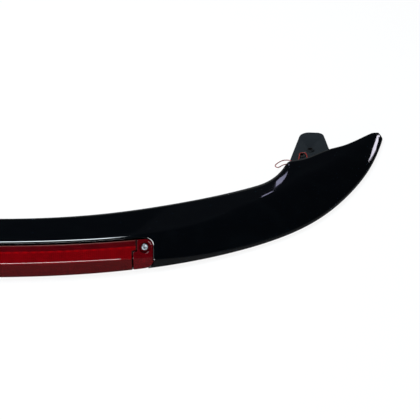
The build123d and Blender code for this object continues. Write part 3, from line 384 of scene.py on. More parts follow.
def roll_edge(sheet, edges, radius_at, depth, steps=4):
    """Rounds a sheet's open edge over and turns it in to a depth below the sheet; gives the new edge."""
    sheet.normal_update()
    outs = {}
    for edge in edges:
        face = edge.link_faces[0]
        out = (edge.verts[1].co - edge.verts[0].co).cross(face.normal).normalized()
        if out.dot(face.calc_center_median() - edge.verts[0].co) > 0:
            out.negate()
        for vertex in edge.verts:
            outs.setdefault(vertex, []).append(out)
    tracks = []
    for vertex, ways in outs.items():
        total = sum(ways, Vector())
        away = total * len(ways) / total.length_squared
        tracks.append([vertex, vertex.co.copy(), away, vertex.normal.copy()])
    angles = [math.pi / 2 * (k + 1) / steps for k in range(steps)]
    for angle in angles + [None]:
        grown = bmesh.ops.extrude_edge_only(sheet, edges=edges)["geom"]
        fresh = {item for item in grown if isinstance(item, bmesh.types.BMVert)}
        edges = [e for e in grown if isinstance(e, bmesh.types.BMEdge) and fresh.issuperset(e.verts)]
        for track in tracks:
            vertex, start, away, normal = track
            twin = next(e.other_vert(vertex) for e in vertex.link_edges if e.other_vert(vertex) in fresh)
            radius = radius_at(start)
            out = radius if angle is None else radius * math.sin(angle)
            deep = depth if angle is None else radius * (1 - math.cos(angle))
            twin.co = start + away * out - normal * deep
            track[0] = twin
    return edges


def as_mesh(sheet, name):
    """Mesh of a finished sheet."""
    mesh = bpy.data.meshes.new(name)
    sheet.to_mesh(mesh)
    sheet.free()
    return mesh


def placed(name, data):
    """Object in the scene, of a mesh, a curve, a light or a camera."""
    made = bpy.data.objects.new(name, data)
    bpy.context.scene.collection.objects.link(made)
    return made


def piece(sheet, name, finish, slot, *nodes, smooth_angle=40):
    """Object made of a finished sheet: smooth but for its sharp edges, riding on the part."""
    mesh = as_mesh(sheet, name)
    mesh.shade_smooth()
    mesh.set_sharp_from_angle(angle=math.radians(smooth_angle))
    mesh.materials.append(finish)
    made = placed(name, mesh)
    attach(made, "root")
    if nodes:
        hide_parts(*nodes)
    return made


def skin_coordinates(place, row):
    """How far below the lip, and how far up the lower face, a point of the rear skin lies."""
    foot, crease, lip = section_corners(share_at_x(REAR_EDGE, abs(place.x)))[:3]
    drop = (lip[1] - place.z) / unit(lip - crease)[1]
    rise = (place.z - foot[1]) / unit(crease - foot)[1] if row > FOOT_ROW else 0
    return drop, rise


def corner_room(across, along, radius):
    """How far outside a round corner a point lies, from its distances past the corner's centre."""
    return (math.hypot(across, along) if min(across, along) > 0 else max(across, along)) - radius


def beyond_opening(place, row):
    """How far a point of the rear skin lies outside the lamp opening, below nought inside it."""
    drop, rise = skin_coordinates(place, row)
    past = abs(place.x) - OPENING_HALF
    high = corner_room(past + OPENING_CORNER, OPENING_TOP + OPENING_CORNER - drop, OPENING_CORNER)
    low_past = past + OPENING_LOW_CORNER
    low = math.hypot(max(low_past, 0), max(OPENING_LOW_CENTRE - rise, 0)) - OPENING_LOW_CORNER
    return max(high, low) if low_past > 0 else high


def onto_opening(place, row):
    """Point of the opening's edge next to a point of the skin."""
    side, past = math.copysign(1, place.x), abs(place.x) - OPENING_HALF
    drop, rise = skin_coordinates(place, row)
    over, under = OPENING_TOP + OPENING_CORNER - drop, OPENING_LOW_CENTRE - rise
    if row == RIM_ROW and past + OPENING_CORNER <= 0:
        return place
    if row > CREASE_ROW and over > 0:
        across = max(past + OPENING_CORNER, 0)
        scale = OPENING_CORNER / math.hypot(across, over)
        x = OPENING_HALF - OPENING_CORNER + across * scale
        low = OPENING_TOP + OPENING_CORNER - over * scale
        return out_at_x(side * x, lambda share: [face_spot(share, low)[0]])[0]
    inset = OPENING_LOW_CORNER - math.sqrt(OPENING_LOW_CORNER**2 - max(under, 0) ** 2)
    return out_at_x(side * (OPENING_HALF - inset), lambda share: [skin_section(share)[row]])[0]


def rim_round(place):
    """The opening's rim is crisp under the lip and at its foot, and softer round its ends."""
    ends = np.interp(abs(place.x), RIM_SOFTENS_OUT, (RIM_ROUND_TOP, RIM_ROUND))
    foot = np.interp(place.z, RIM_SOFTENS_UP, (RIM_ROUND_FOOT, RIM_ROUND))
    return float(min(ends, foot))


BRACKET_SHARE = 0.793
BRACKET_LEAN = 3.5
BRACKET_ROOT = 0.066
SLOT_GAP = 0.0008
TOUCHING = 1e-6
BRACKET_FOOT = along_edge(FRONT_EDGE, BRACKET_SHARE)


def bracket_axes(side):
    """Axes of a bracket on the shell's front edge: across it, along its tongue, up."""
    place = Matrix.Translation((side * BRACKET_FOOT[0], BRACKET_FOOT[1] + REAR_Y, 0))
    return place @ Matrix.Rotation(math.radians(-side * BRACKET_LEAN), 4, "Z")


def in_bracket_slot(place):
    across = (bracket_axes(math.copysign(1, place.x)).inverted() @ place).x
    return abs(across) < BRACKET_ROOT / 2 + SLOT_GAP


def upper_shell():
    """The skin, cut out for the lamp and the brackets, with a rounded rim to the lamp and closed tips."""
    shares = [column_share(column) for column in range(SHELL_COLUMNS + 1)]
    sheet, spots = mapped_sheet([in_part(share, side, skin_section(share)) for share, side in shares])
    rows = {vertex: row for vertex, (column, row) in spots.items()}
    spare = []
    for face in sheet.faces:
        centre, low = face.calc_center_median(), min(rows[v] for v in face.verts)
        in_opening = low < RIM_ROW and beyond_opening(centre, low) < 0
        if in_opening or low >= SLOT_ROW and in_bracket_slot(centre):
            spare.append(face)
    bmesh.ops.delete(sheet, geom=spare, context="FACES")
    rim = []
    for edge in sheet.edges:
        near = all(rows[v] <= RIM_ROW and abs(v.co.x) < OPENING_HALF + OPENING_CORNER for v in edge.verts)
        if edge.is_boundary and near and max(rows[v] for v in edge.verts) > 0:
            rim.append(edge)
    for vertex in {v for edge in rim for v in edge.verts}:
        vertex.co = onto_opening(vertex.co, rows[vertex])
    roll_edge(sheet, rim, rim_round, WALL)
    bmesh.ops.remove_doubles(sheet, verts=sheet.verts, dist=TOUCHING)
    tip = HALF_SPAN - TIP_RADIUS
    tips = [e for e in sheet.edges if e.is_boundary and min(abs(v.co.x) for v in e.verts) > tip]
    bmesh.ops.holes_fill(sheet, edges=tips, sides=0)
    return sheet


class Socket:
    """One output of a shader node, written in sums as a number is."""

    MIXED_COLOURS = (6, 7)
    MIXED_RESULT = 2

    def __init__(self, tree, output):
        self.tree = tree
        self.output = output

    def node(self, kind, settings, inputs, output=0):
        """Any node: its settings are set first, then the values or links of its sockets."""
        made = self.tree.nodes.new("ShaderNode" + kind)
        for key, value in settings.items():
            setattr(made, key, value)
        for key, value in inputs.items():
            if isinstance(value, Socket):
                self.tree.links.new(value.output, made.inputs[key])
            else:
                made.inputs[key].default_value = value
        return Socket(self.tree, made.outputs[output]) if made.outputs else None

    def math(self, operation, *others):
        return self.node("Math", {"operation": operation}, dict(enumerate((self, *others))))

    def __add__(self, other):
        return self.math("ADD", other)

    def __radd__(self, other):
        return self.math("ADD", other)

    def __sub__(self, other):
        return self.math("SUBTRACT", other)

    def __rsub__(self, other):
        return self.node("Math", {"operation": "SUBTRACT"}, {0: other, 1: self})

    def __mul__(self, other):
        return self.math("MULTIPLY", other)

    def __rmul__(self, other):
        return self.math("MULTIPLY", other)

    def between(self, low, high):
        """Nought below low, one above high, smooth in between."""
        settings = {"interpolation_type": "SMOOTHSTEP"}
        return self.node("MapRange", settings, {"Value": self, "From Min": low, "From Max": high})

    def noise(self, scale, detail=2.0):
        return self.node("TexNoise", {}, {"Vector": self, "Scale": scale, "Detail": detail})

    def mixed(self, first, second):
        """First colour where this is nought, second where it is one."""
        colours = [c if isinstance(c, Socket) else (*c, 1) for c in (first, second)]
        inputs = {0: self, **dict(zip(self.MIXED_COLOURS, colours))}
        return self.node("Mix", {"data_type": "RGBA"}, inputs, self.MIXED_RESULT)

    def bump(self, height_mm, strength=1.0):
        return self.node("Bump", {}, {"Height": self, "Distance": height_mm / 1000, "Strength": strength})


def new_finish(name):
    """A new material and the socket with the place on the part that its pattern starts from."""
    material = bpy.data.materials.new(name)
    material.use_nodes = True
    material.node_tree.nodes.clear()
    coordinates = material.node_tree.nodes.new("ShaderNodeTexCoord")
    return material, Socket(material.node_tree, coordinates.outputs["Object"])


def surface(place, **inputs):
    """Closes a finish: a principled surface with these values or links."""
    named = {key.replace("_", " "): value for key, value in inputs.items()}
    shader = place.node("BsdfPrincipled", {}, named)
    place.node("OutputMaterial", {}, {"Surface": shader})


def gloss_black():
    """Polished black: a trace of blue in the depth, faint ripple of the moulding, a little dust haze."""
    material, place = new_finish("gloss_black")
    ripple = place.noise(220, 1.0)
    haze = place.noise(35, 4.0).between(0.45, 0.75)
    surface(
        place,
        Base_Color=haze.mixed((0.0003, 0.0005, 0.0008), (0.0005, 0.0008, 0.0011)),
        Roughness=0.035 + 0.03 * haze,
        IOR=1.5,
        Normal=ripple.bump(0.01, 0.15),
    )
    return material


GLOSS_BLACK = gloss_black()
piece(upper_shell(), "shell_skin", GLOSS_BLACK, "gloss_black", "upper_shell")

# Brackets: one under each horn, moulded in matte dark grey nylon, screwed up into the shell's front land.
# The tongue stands out over the car's drain channel and carries a blackened threaded bush for a bolt.
# A rubber grommet is pressed into the right one's ear.
BRACKET_EASE = 0.0005
CAD_TOUCHING = 2e-6
FLAT_ANGLE = 0.01


def dress(node, finish):
    """Gives a CAD piece, shown as it is, its finish."""
    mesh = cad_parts[node].data
    mesh.materials.clear()
    mesh.materials.append(finish)


def eased(node, finish, slot, width, angle=35):
    """Copy of a CAD piece with its sharp edges eased, in its place."""
    sheet = bmesh.new()
    sheet.from_mesh(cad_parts[node].data)
    bmesh.ops.remove_doubles(sheet, verts=sheet.verts, dist=CAD_TOUCHING)
    bmesh.ops.dissolve_limit(sheet, angle_limit=FLAT_ANGLE, verts=sheet.verts, edges=sheet.edges)
    sharp = [e for e in sheet.edges if len(e.link_faces) == 2 and e.calc_face_angle() > math.radians(angle)]
    bmesh.ops.bevel(
        sheet,
        geom=sharp,
        offset=width,
        segments=2,
        profile=0.5,
        affect="EDGES",
        clamp_overlap=True,
        material=-1,
    )
    return piece(sheet, node + "_eased", finish, slot, node, smooth_angle=20)


def bracket_grey():
    material, place = new_finish("bracket_grey")
    grain = place.noise(1800, 3.0)
    cloud = place.noise(60, 3.0).between(0.35, 0.7)
    surface(
        place,
        Base_Color=cloud.mixed((0.0022, 0.0034, 0.0048), (0.0028, 0.0042, 0.0058)),
        Roughness=0.5 + 0.12 * grain,
        Specular_IOR_Level=0.2,
        Normal=grain.bump(0.05, 0.35),
    )
    return material


def black_metal():
    material, place = new_finish("black_metal")
    turned = place.noise(900, 2.0)
    surface(
        place,
        Base_Color=turned.mixed((0.018, 0.018, 0.02), (0.05, 0.05, 0.055)),
        Metallic=0.9,
        Roughness=0.28 + 0.15 * turned,
    )
    return material


def rubber_black():
    material, place = new_finish("rubber_black")
    bloom = place.noise(240, 4.0)
    surface(
        place,
        Base_Color=bloom.between(0.4, 0.8).mixed((0.0022, 0.0022, 0.0024), (0.005, 0.005, 0.0055)),
        Roughness=0.55 + 0.2 * bloom,
        Specular_IOR_Level=0.2,
        Normal=place.noise(2500, 2.0).bump(0.02, 0.4),
    )
    return material


def zinc_steel():
    material, place = new_finish("zinc_steel")
    brushed = place.noise(700, 3.0)
    surface(
        place,
        Base_Color=brushed.between(0.3, 0.7).mixed((0.10, 0.115, 0.13), (0.17, 0.19, 0.21)),
        Metallic=0.85,
        Roughness=0.3 + 0.2 * brushed,
    )
    return material


BRACKET_GREY = bracket_grey()
RUBBER = rubber_black()
STEEL = zinc_steel()
for side in ("left", "right"):
    eased("bracket_" + side, BRACKET_GREY, "bracket_grey", BRACKET_EASE)
dress("bracket_inserts", black_metal())
dress("bracket_screws", STEEL)
dress("bracket_grommet", RUBBER)

# Lamp: a tray with a metallised reflector and a row of diodes, welded behind a clear red lens.
# The lens follows the shell's rear face; its foot turns in under the crease, and it is prism-ribbed inside.
# A separate red cap at each end hides the joint and takes the screw that holds the lamp.
LENS_DROP = 0.0063
LENS_BEND_RISE = 0.0038
LENS_CORNER = 0.0115
LENS_RECESS = 0.0006
LENS_THICK = 0.0025
LENS_EDGE_RADIUS = 0.0004
LENS_JOINT = 0.2043
JOINT_GAP = 0.0020
JOINT_STEP = 0.0052
JOINT_DROP = 0.0139
LENS_COLUMNS = 240
LENS_ROWS = (6, 4, 13)
CAP_COLUMNS = (12, 46)
CAP_ROWS = (40, 24, 28)
CREASE_STEPS = 7
SCREW_OUT = 0.2223
SCREW_DROP = 0.0173
RECESS_RADIUS = 0.008
RECESS_DEPTH = 0.004
HOLE_STEP = 0.0009
SCREW_EASE = 0.0003


def face_point(share, drop, depth):
    """Point a drop below the lip and a depth under the flat of a section's rear face."""
    crease, lip = section_corners(share)[1:3]
    up = unit(lip - crease)
    return lip - up * drop + np.array((up[1], -up[0])) * depth


def lens_section(share, rows, step_drop):
    """Points of the lens's front in a section: up from its foot, round the crease and past the step."""
    corners = section_corners(share)
    foot, crease, lip = corners[:3]
    up = unit(lip - crease)
    bend = crease + up * LENS_BEND_RISE
    low = unit(bend - foot)
    low_in, up_in = np.array((low[1], -low[0])), np.array((up[1], -up[0]))
    corner = bend + (low_in + up_in) * LENS_RECESS / (1 + low_in @ up_in)
    end = corner - low * (corner[1] - LENS_FOOT - LENS_EDGE_RADIUS) / low[1]
    top = face_point(share, LENS_DROP + LENS_EDGE_RADIUS, LENS_RECESS)
    step = face_point(share, LENS_DROP + step_drop, LENS_RECESS)
    arc = rounding(end, corner, top, section_radii(share, corners)[0] - LENS_RECESS, CREASE_STEPS)
    lower, middle, upper = (np.linspace(0, 1, count + 1) for count in rows)
    return (
        between(end, arc[0], lower[:-1])
        + arc
        + between(arc[-1], step, middle[1:])
        + between(step, top, upper[1:])
    )


def lens_sheet(across, *section):
    """Sheet of lens between lines across it; each point keeps how far along and how far down it lies."""
    lines = [out_at_x(x, lambda share: lens_section(share, *section)) for x in across]
    sheet, spots = mapped_sheet(lines, "along", "down")
    along, down = (sheet.verts.layers.float[name] for name in ("along", "down"))
    for vertex, (column, row) in spots.items():
        line = lines[column][row:]
        vertex[along] = across[column]
        vertex[down] = LENS_DROP + LENS_EDGE_RADIUS + sum((b - a).length for a, b in zip(line, line[1:]))
    return sheet, spots


def lens_edge(place):
    return LENS_EDGE_RADIUS


def step_row(rows):
    return rows[0] + CREASE_STEPS + rows[1] - 1


def lens_front():
    """The long lens, with its edges rolled in; its ends are stepped."""
    upper = LENS_JOINT + JOINT_STEP - LENS_EDGE_RADIUS
    lower = LENS_JOINT - LENS_EDGE_RADIUS
    across = [-upper, *np.linspace(-lower, lower, LENS_COLUMNS - 1), upper]
    sheet, spots = lens_sheet(across, LENS_ROWS, JOINT_DROP - LENS_EDGE_RADIUS)
    spare = []
    for face in sheet.faces:
        columns = {spots[v][0] for v in face.verts}
        if columns & {0, LENS_COLUMNS} and max(spots[v][1] for v in face.verts) <= step_row(LENS_ROWS):
            spare.append(face)
    bmesh.ops.delete(sheet, geom=spare, context="FACES")
    roll_edge(sheet, [e for e in sheet.edges if e.is_boundary], lens_edge, LENS_THICK)
    return sheet


def lens_cap(side):
    """End piece of the lens: two round corners, a stepped joint, and a round recess for the screw."""
    inner = LENS_JOINT + JOINT_GAP + LENS_EDGE_RADIUS
    outer = LAMP_HALF - LENS_EDGE_RADIUS
    step = np.linspace(inner, inner + JOINT_STEP, CAP_COLUMNS[0] + 1)
    run = np.linspace(inner + JOINT_STEP, outer, CAP_COLUMNS[1] + 1)
    step_drop = JOINT_DROP + JOINT_GAP + LENS_EDGE_RADIUS
    sheet, spots = lens_sheet(sorted(side * x for x in (*step, *run[1:])), CAP_ROWS, step_drop)
    down = sheet.verts.layers.float["down"]
    ends = {column: vertex[down] for vertex, (column, row) in spots.items() if row == 0}
    rise = {vertex: ends[column] - vertex[down] for vertex, (column, row) in spots.items()}
    high, low = LENS_CORNER - LENS_EDGE_RADIUS, LENS_LOW_CORNER - LENS_EDGE_RADIUS
    hole = RECESS_RADIUS + LENS_EDGE_RADIUS
    top = LENS_DROP + LENS_EDGE_RADIUS

    def round_cut(out, drop, height):
        """Round cut next to a spot: its name, the spot from its centre, its radius, and which side goes."""
        clear = math.hypot(out - SCREW_OUT, drop - SCREW_DROP) > hole + HOLE_STEP
        if clear and out > outer - high and drop < top + high:
            return "high", (out - outer + high, drop - top - high), high, 1
        if clear and out > outer - low and height < low:
            return "low", (out - outer + low, height - low), low, 1
        return "hole", (out - SCREW_OUT, drop - SCREW_DROP), hole, -1

    spare = []
    for face in sheet.faces:
        out = abs(face.calc_center_median().x)
        drop = sum(v[down] for v in face.verts) / len(face.verts)
        height = sum(rise[v] for v in face.verts) / len(face.verts)
        spot, radius, goes = round_cut(out, drop, height)[1:]
        stepped = out < inner + JOINT_STEP and min(spots[v][1] for v in face.verts) >= step_row(CAP_ROWS)
        if stepped or goes * (math.hypot(*spot) - radius) > 0:
            spare.append(face)
    bmesh.ops.delete(sheet, geom=spare, context="FACES")
    around = set()
    for vertex in {v for e in sheet.edges if e.is_boundary for v in e.verts}:
        name, spot, radius = round_cut(abs(vertex.co.x), vertex[down], rise[vertex])[:3]
        reach = radius / math.hypot(*spot)
        if name == "high":
            out, drop = outer - high + spot[0] * reach, top + high + spot[1] * reach
        elif name == "low":
            out, height = outer - low + spot[0] * reach, low + spot[1] * reach
        elif math.hypot(*spot) < hole + HOLE_STEP:
            out, drop = SCREW_OUT + spot[0] * reach, SCREW_DROP + spot[1] * reach
            around.add(vertex)
        else:
            continue

        def edge_spot(share):
            """The same spot on the cut's edge, in a section."""
            if name != "low":
                return [face_point(share, drop, LENS_RECESS)]
            foot, bend = (lens_section(share, CAP_ROWS, step_drop)[row] for row in (0, CAP_ROWS[0]))
            return [foot + unit(bend - foot) * height]

        vertex.co = out_at_x(side * out, edge_spot)[0]
    edge = [e for e in sheet.edges if e.is_boundary]
    ring = [e for e in edge if around.issuperset(e.verts)]
    floor = roll_edge(sheet, ring, lens_edge, RECESS_DEPTH)
    bmesh.ops.contextual_create(sheet, geom=floor)
    roll_edge(sheet, [e for e in edge if not around.issuperset(e.verts)], lens_edge, LENS_THICK)
    return sheet


LED_PITCH = 0.0114
SCALLOP_DOWN = 0.0155
RIB_PITCH = 0.0027
CREASE_DOWN = 0.0300
BOWL_HEIGHT = 0.2
# The painted highlight on the lens's top edge fades out between these drops.
EDGE_HIGHLIGHT_EASE = (LENS_DROP + 0.0002, LENS_DROP + 0.0014)
# The upper band's painted shade ends, and the ribs begin, between these drops.
UPPER_EASE = (SCALLOP_DOWN - 0.001, SCALLOP_DOWN + 0.002)
# The painted shade under the lens's crease begins between these drops.
UNDER_SHADE_EASE = (CREASE_DOWN + 0.001, CREASE_DOWN + 0.003)


def lens_red():
    """Clear red: a painted highlight on the top edge, painted shade on the upper band under the lip, a row
    of bright bowls, a ribbed band down to the crease, painted shade on the band below the crease.
    """
    material, place = new_finish("lens_red")
    along = place.node("Attribute", {"attribute_name": "along"}, {}, "Fac")
    down = place.node("Attribute", {"attribute_name": "down"}, {}, "Fac")
    beat = (along * (1 / LED_PITCH)).math("FRACT") - 0.5
    drop = (down - SCALLOP_DOWN) * (1 / LED_PITCH)
    swell = (beat * (2 * math.pi)).math("COSINE")
    bowl = (1 - drop.math("ABSOLUTE").between(0.0, BOWL_HEIGHT)) * (0.74 + 0.26 * swell)
    streak = place.noise(60, 3.0)
    cloud = streak.between(0.3, 0.7)
    # Painted shade: the upper band, under the lip, is painted a darker red than the ribbed band.
    upper = 1 - down.between(*UPPER_EASE)
    band = cloud.mixed((0.054, 0.0002, 0.0008), (0.070, 0.0002, 0.0010))
    shaded_upper = cloud.mixed((0.021, 0.0003, 0.0009), (0.030, 0.0004, 0.0011))
    colour = upper.mixed(band, shaded_upper)
    colour = bowl.mixed(colour, (0.105, 0.0003, 0.0010))
    # Painted highlight: a pale pinkish red along the lens's top edge, with less coat there.
    edge = 1 - down.between(*EDGE_HIGHLIGHT_EASE)
    colour = edge.mixed(colour, (0.065, 0.017, 0.015))
    # Painted shade: the lower band, which faces down under the crease, is painted a darker red.
    under = down.between(*UNDER_SHADE_EASE)
    colour = under.mixed(colour, (0.024, 0.0005, 0.0008))
    rib = (along * (2 * math.pi / RIB_PITCH)).math("SINE")
    colour = ((0.5 + 0.5 * rib) * (1 - upper) * 0.3).mixed(colour, (0.020, 0.0001, 0.0004))
    surface(
        place,
        Base_Color=colour,
        Roughness=0.32 + 0.1 * streak,
        Specular_IOR_Level=0.0,
        Coat_Weight=1 - 0.8 * edge,
        Coat_Roughness=0.03,
        Normal=(rib * (1 - upper)).bump(0.12, 0.6),
    )
    return material


def cap_red():
    material, place = new_finish("cap_red")
    cloud = place.noise(120, 3.0)
    surface(
        place,
        Base_Color=cloud.between(0.3, 0.7).mixed((0.028, 0.0002, 0.0008), (0.037, 0.0002, 0.0010)),
        Roughness=0.22 + 0.12 * cloud,
        Specular_IOR_Level=0.0,
        Coat_Weight=1.0,
        Coat_Roughness=0.03,
    )
    return material


def moulded_black(name, low, high):
    """Moulded black plastic, not polished."""
    material, place = new_finish(name)
    grain = place.noise(1500, 3.0)
    surface(
        place,
        Base_Color=place.noise(45, 3.0).between(0.35, 0.7).mixed((low,) * 3, (high,) * 3),
        Roughness=0.42 + 0.15 * grain,
        Specular_IOR_Level=0.08,
        Normal=grain.bump(0.04, 0.4),
    )
    return material


def metallised():
    material, place = new_finish("metallised")
    haze = place.noise(90, 3.0)
    surface(
        place,
        Base_Color=haze.between(0.35, 0.75).mixed((0.82, 0.82, 0.83), (0.74, 0.74, 0.76)),
        Metallic=1.0,
        Roughness=0.06 + 0.12 * haze,
    )
    return material


def solder_mask():
    material, place = new_finish("solder_mask")
    track = place.node("TexVoronoi", {"feature": "DISTANCE_TO_EDGE"}, {"Vector": place, "Scale": 140})
    surface(
        place,
        Base_Color=track.between(0.02, 0.05).mixed((0.05, 0.19, 0.07), (0.012, 0.075, 0.028)),
        Roughness=0.3 + 0.1 * place.noise(300),
    )
    return material


def led_body():
    material, place = new_finish("led_body")
    surface(
        place,
        Base_Color=place.noise(400).between(0.4, 0.7).mixed((0.72, 0.70, 0.62), (0.62, 0.60, 0.50)),
        Roughness=0.3 + 0.1 * place.noise(900),
    )
    return material


def fired_black():
    material, place = new_finish("fired_black")
    speck = place.noise(1200, 2.0).between(0.3, 0.7)
    surface(
        place,
        Base_Color=speck.mixed((0.012, 0.012, 0.014), (0.03, 0.03, 0.033)),
        Roughness=0.4 + 0.2 * place.noise(2000),
    )
    return material


def brass():
    material, place = new_finish("brass")
    turned = place.noise(800, 2.0)
    surface(
        place,
        Base_Color=turned.between(0.3, 0.7).mixed((0.52, 0.36, 0.12), (0.62, 0.45, 0.18)),
        Metallic=1.0,
        Roughness=0.22 + 0.2 * turned,
    )
    return material


HOUSING_BLACK = moulded_black("housing_black", 0.002, 0.004)
BRASS = brass()
dress("lamp_housing", HOUSING_BLACK)
dress("lamp_gasket", RUBBER)
dress("reflector", metallised())
dress("led_board", solder_mask())
dress("leds", led_body())
dress("board_resistors", fired_black())
dress("lamp_screw_inserts", BRASS)
piece(lens_front(), "lens_front", lens_red(), "lens_red", "lens")
CAP_RED = cap_red()
for name, side in (("left", -1), ("right", 1)):
    piece(lens_cap(side), "lens_cap_" + name, CAP_RED, "lens_red", "lens_end_" + name)
eased("lamp_screws", STEEL, "steel", SCREW_EASE)

# Lead: a sheathed two-core cable from the lamp's gland, clipped along the inside of the shell to a bush.
# There its red and black wires come out over the right bracket; the red one makes a loop in the air.
# Both end in a two-way nylon plug with crimped brass pins, pushed up into the horn.
LEAD_HEIGHT = 0.006
WIRE_RADIUS = 0.00075
RED_LENGTH = 0.184
BLACK_LENGTH = 0.0643
PLUG_EASE = 0.0003
RED_ROUTE = (
    (-0.02576, -0.02843, 0.0025), (-0.03349, -0.01675, 0.0025), (-0.0436, -0.0196, 0.0025),
    (-0.0511, -0.0298, 0.0025), (-0.0570, -0.0240, 0.0025), (-0.0509, -0.0142, 0.0025),
    (-0.0438, -0.0072, 0.0025), (-0.0339, -0.0064, 0.0025), (-0.0266, -0.0117, 0.0025),
    (-0.0206, -0.0090, 0.0028), (-0.0192, 0.0030, 0.0030), (-0.0188, 0.0147, 0.0030),
    (-0.0088, 0.0153, 0.0030), (-0.0075, 0.0014, 0.0030), (-0.0022, -0.0194, 0.0030),
    (0.0007, -0.0343, 0.0030), (0.0007, -0.0513, 0.0030),
)
BLACK_ROUTE = (
    (-0.02326, -0.02677, 0.0025), (-0.02933, -0.01760, 0.0025), (-0.0230, -0.0156, 0.0025),
    (-0.0125, -0.0146, 0.0025), (-0.0070, -0.0245, 0.0030), (-0.0023, -0.0343, 0.0030),
    (-0.0023, -0.0513, 0.0030),
)


def wire(name, route, finish, length, *ends):
    """A wire along a route in the right bracket's axes, which takes the place of the CAD tube."""
    curve = bpy.data.curves.new(name + "_run", "CURVE")
    curve.dimensions = "3D"
    curve.bevel_depth = WIRE_RADIUS
    curve.bevel_resolution = 4
    curve.resolution_u = 16
    curve.use_fill_caps = True
    run = curve.splines.new("NURBS")
    run.points.add(len(route) - 1)
    for point, (across, along, height) in zip(run.points, route):
        point.co = (*(bracket_axes(1) @ Vector((across, along, LEAD_HEIGHT + height))), 1)
    run.order_u = 3
    run.use_endpoint_u = True
    curve.materials.append(finish)
    made = placed(name + "_run", curve)
    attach(made, "root")
    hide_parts(name)


def insulation(name, low, high):
    """Soft plastic round a wire."""
    material, place = new_finish(name)
    rub = place.noise(500, 3.0)
    surface(
        place,
        Base_Color=rub.between(0.35, 0.75).mixed(low, high),
        Roughness=0.35 + 0.15 * rub,
    )
    return material


def nylon():
    material, place = new_finish("nylon")
    surface(
        place,
        Base_Color=place.noise(200, 3.0).between(0.4, 0.7).mixed((0.62, 0.60, 0.52), (0.54, 0.52, 0.44)),
        Roughness=0.4 + 0.15 * place.noise(900),
    )
    return material


WIRE_BLACK = insulation("wire_black", (0.003, 0.003, 0.0035), (0.006, 0.006, 0.0065))
plug = eased("lead_connector", nylon(), "plug_white", PLUG_EASE)
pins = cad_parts["connector_terminals"]
dress("connector_terminals", BRASS)
dress("lamp_gland", RUBBER)
dress("lamp_lead", WIRE_BLACK)
dress("lead_clips", HOUSING_BLACK)
dress("lead_bush", RUBBER)
WIRE_RED = insulation("wire_red", (0.15, 0.010, 0.007), (0.11, 0.008, 0.006))
wire("wire_red", RED_ROUTE, WIRE_RED, RED_LENGTH, plug, pins)
wire("wire_black", BLACK_ROUTE, WIRE_BLACK, BLACK_LENGTH, plug, pins)

# Base panel: a flat moulded cover that closes the shell from below, held with seven screws.
# Foam tapes under its front and rear edges and a foam gasket under each horn lie on the car's paint.
PANEL_EASE = 0.0003


def grained_black():
    material, place = new_finish("grained_black")
    grain = place.node("TexVoronoi", {}, {"Vector": place, "Scale": 900})
    cloud = place.noise(30, 3.0).between(0.35, 0.7)
    surface(
        place,
        Base_Color=cloud.mixed((0.010, 0.010, 0.011), (0.017, 0.017, 0.018)),
        Roughness=0.55 + 0.1 * place.noise(500),
        Normal=grain.bump(0.08, 0.5),
    )
    return material


def foam_black():
    material, place = new_finish("foam_black")
    cells = place.node("TexVoronoi", {}, {"Vector": place, "Scale": 1600})
    surface(
        place,
        Base_Color=cells.between(0.1, 0.6).mixed((0.006, 0.006, 0.0065), (0.02, 0.02, 0.021)),
        Roughness=0.85 + 0.1 * place.noise(400),
        Normal=cells.bump(0.15, 0.6),
    )
    return material


FOAM = foam_black()
eased("base_panel", grained_black(), "black_panel", PANEL_EASE)
dress("base_screws", STEEL)
for node in ("front_tape", "rear_tape", "pad_gasket_left", "pad_gasket_right"):
    dress(node, FOAM)

# Stage: a pale floor and the soft panels of a small studio, which the polished black mirrors.
# Two small lit cards out of the picture show in it as the pale wedge on the neck of the horn and the
# bright strip along its tip. The camera stands behind the right half and looks down on it.
FLOOR_REACH = 3.0
DARK_SLANT = 0.51
DARK_EDGE = (-0.06, -0.02)
DARK_SIDES = (0.27, 0.33)
NEAR_FADE = (-0.25, -0.1)
WEDGE_BACK = 0.45
WEDGE_GLOW = (1.1, 1.1, 1.6)
WEDGE = (
    (0.3530, 0.046),
    (0.3608, 0.046),
    (0.3640, 0.060),
    (0.3615, 0.078),
    (0.3536, 0.096),
    (0.3505, 0.059),
)
STRIP_AWAY = 1.0
STRIP_GLOW = (8.5, 8.2, 9.5)
STRIP = (
    (0.568, 0.161, 24.0, 23.6),
    (0.565, 0.144, 34.1, 23.5),
    (0.559, 0.125, 39.9, 23.2),
    (0.555, 0.106, 45.1, 22.6),
    (0.550, 0.091, 47.2, 24.4),
    (0.558, 0.109, 45.9, 20.6),
    (0.566, 0.130, 44.7, 17.2),
    (0.571, 0.151, 41.4, 17.4),
    (0.573, 0.164, 35.6, 21.2),
)
CAMERA_PLACE = (0.309615, -1.563429, 1.080632)
CAMERA_TILT = 55
CAMERA_LENS = 111.43
CAMERA_SENSOR = 36


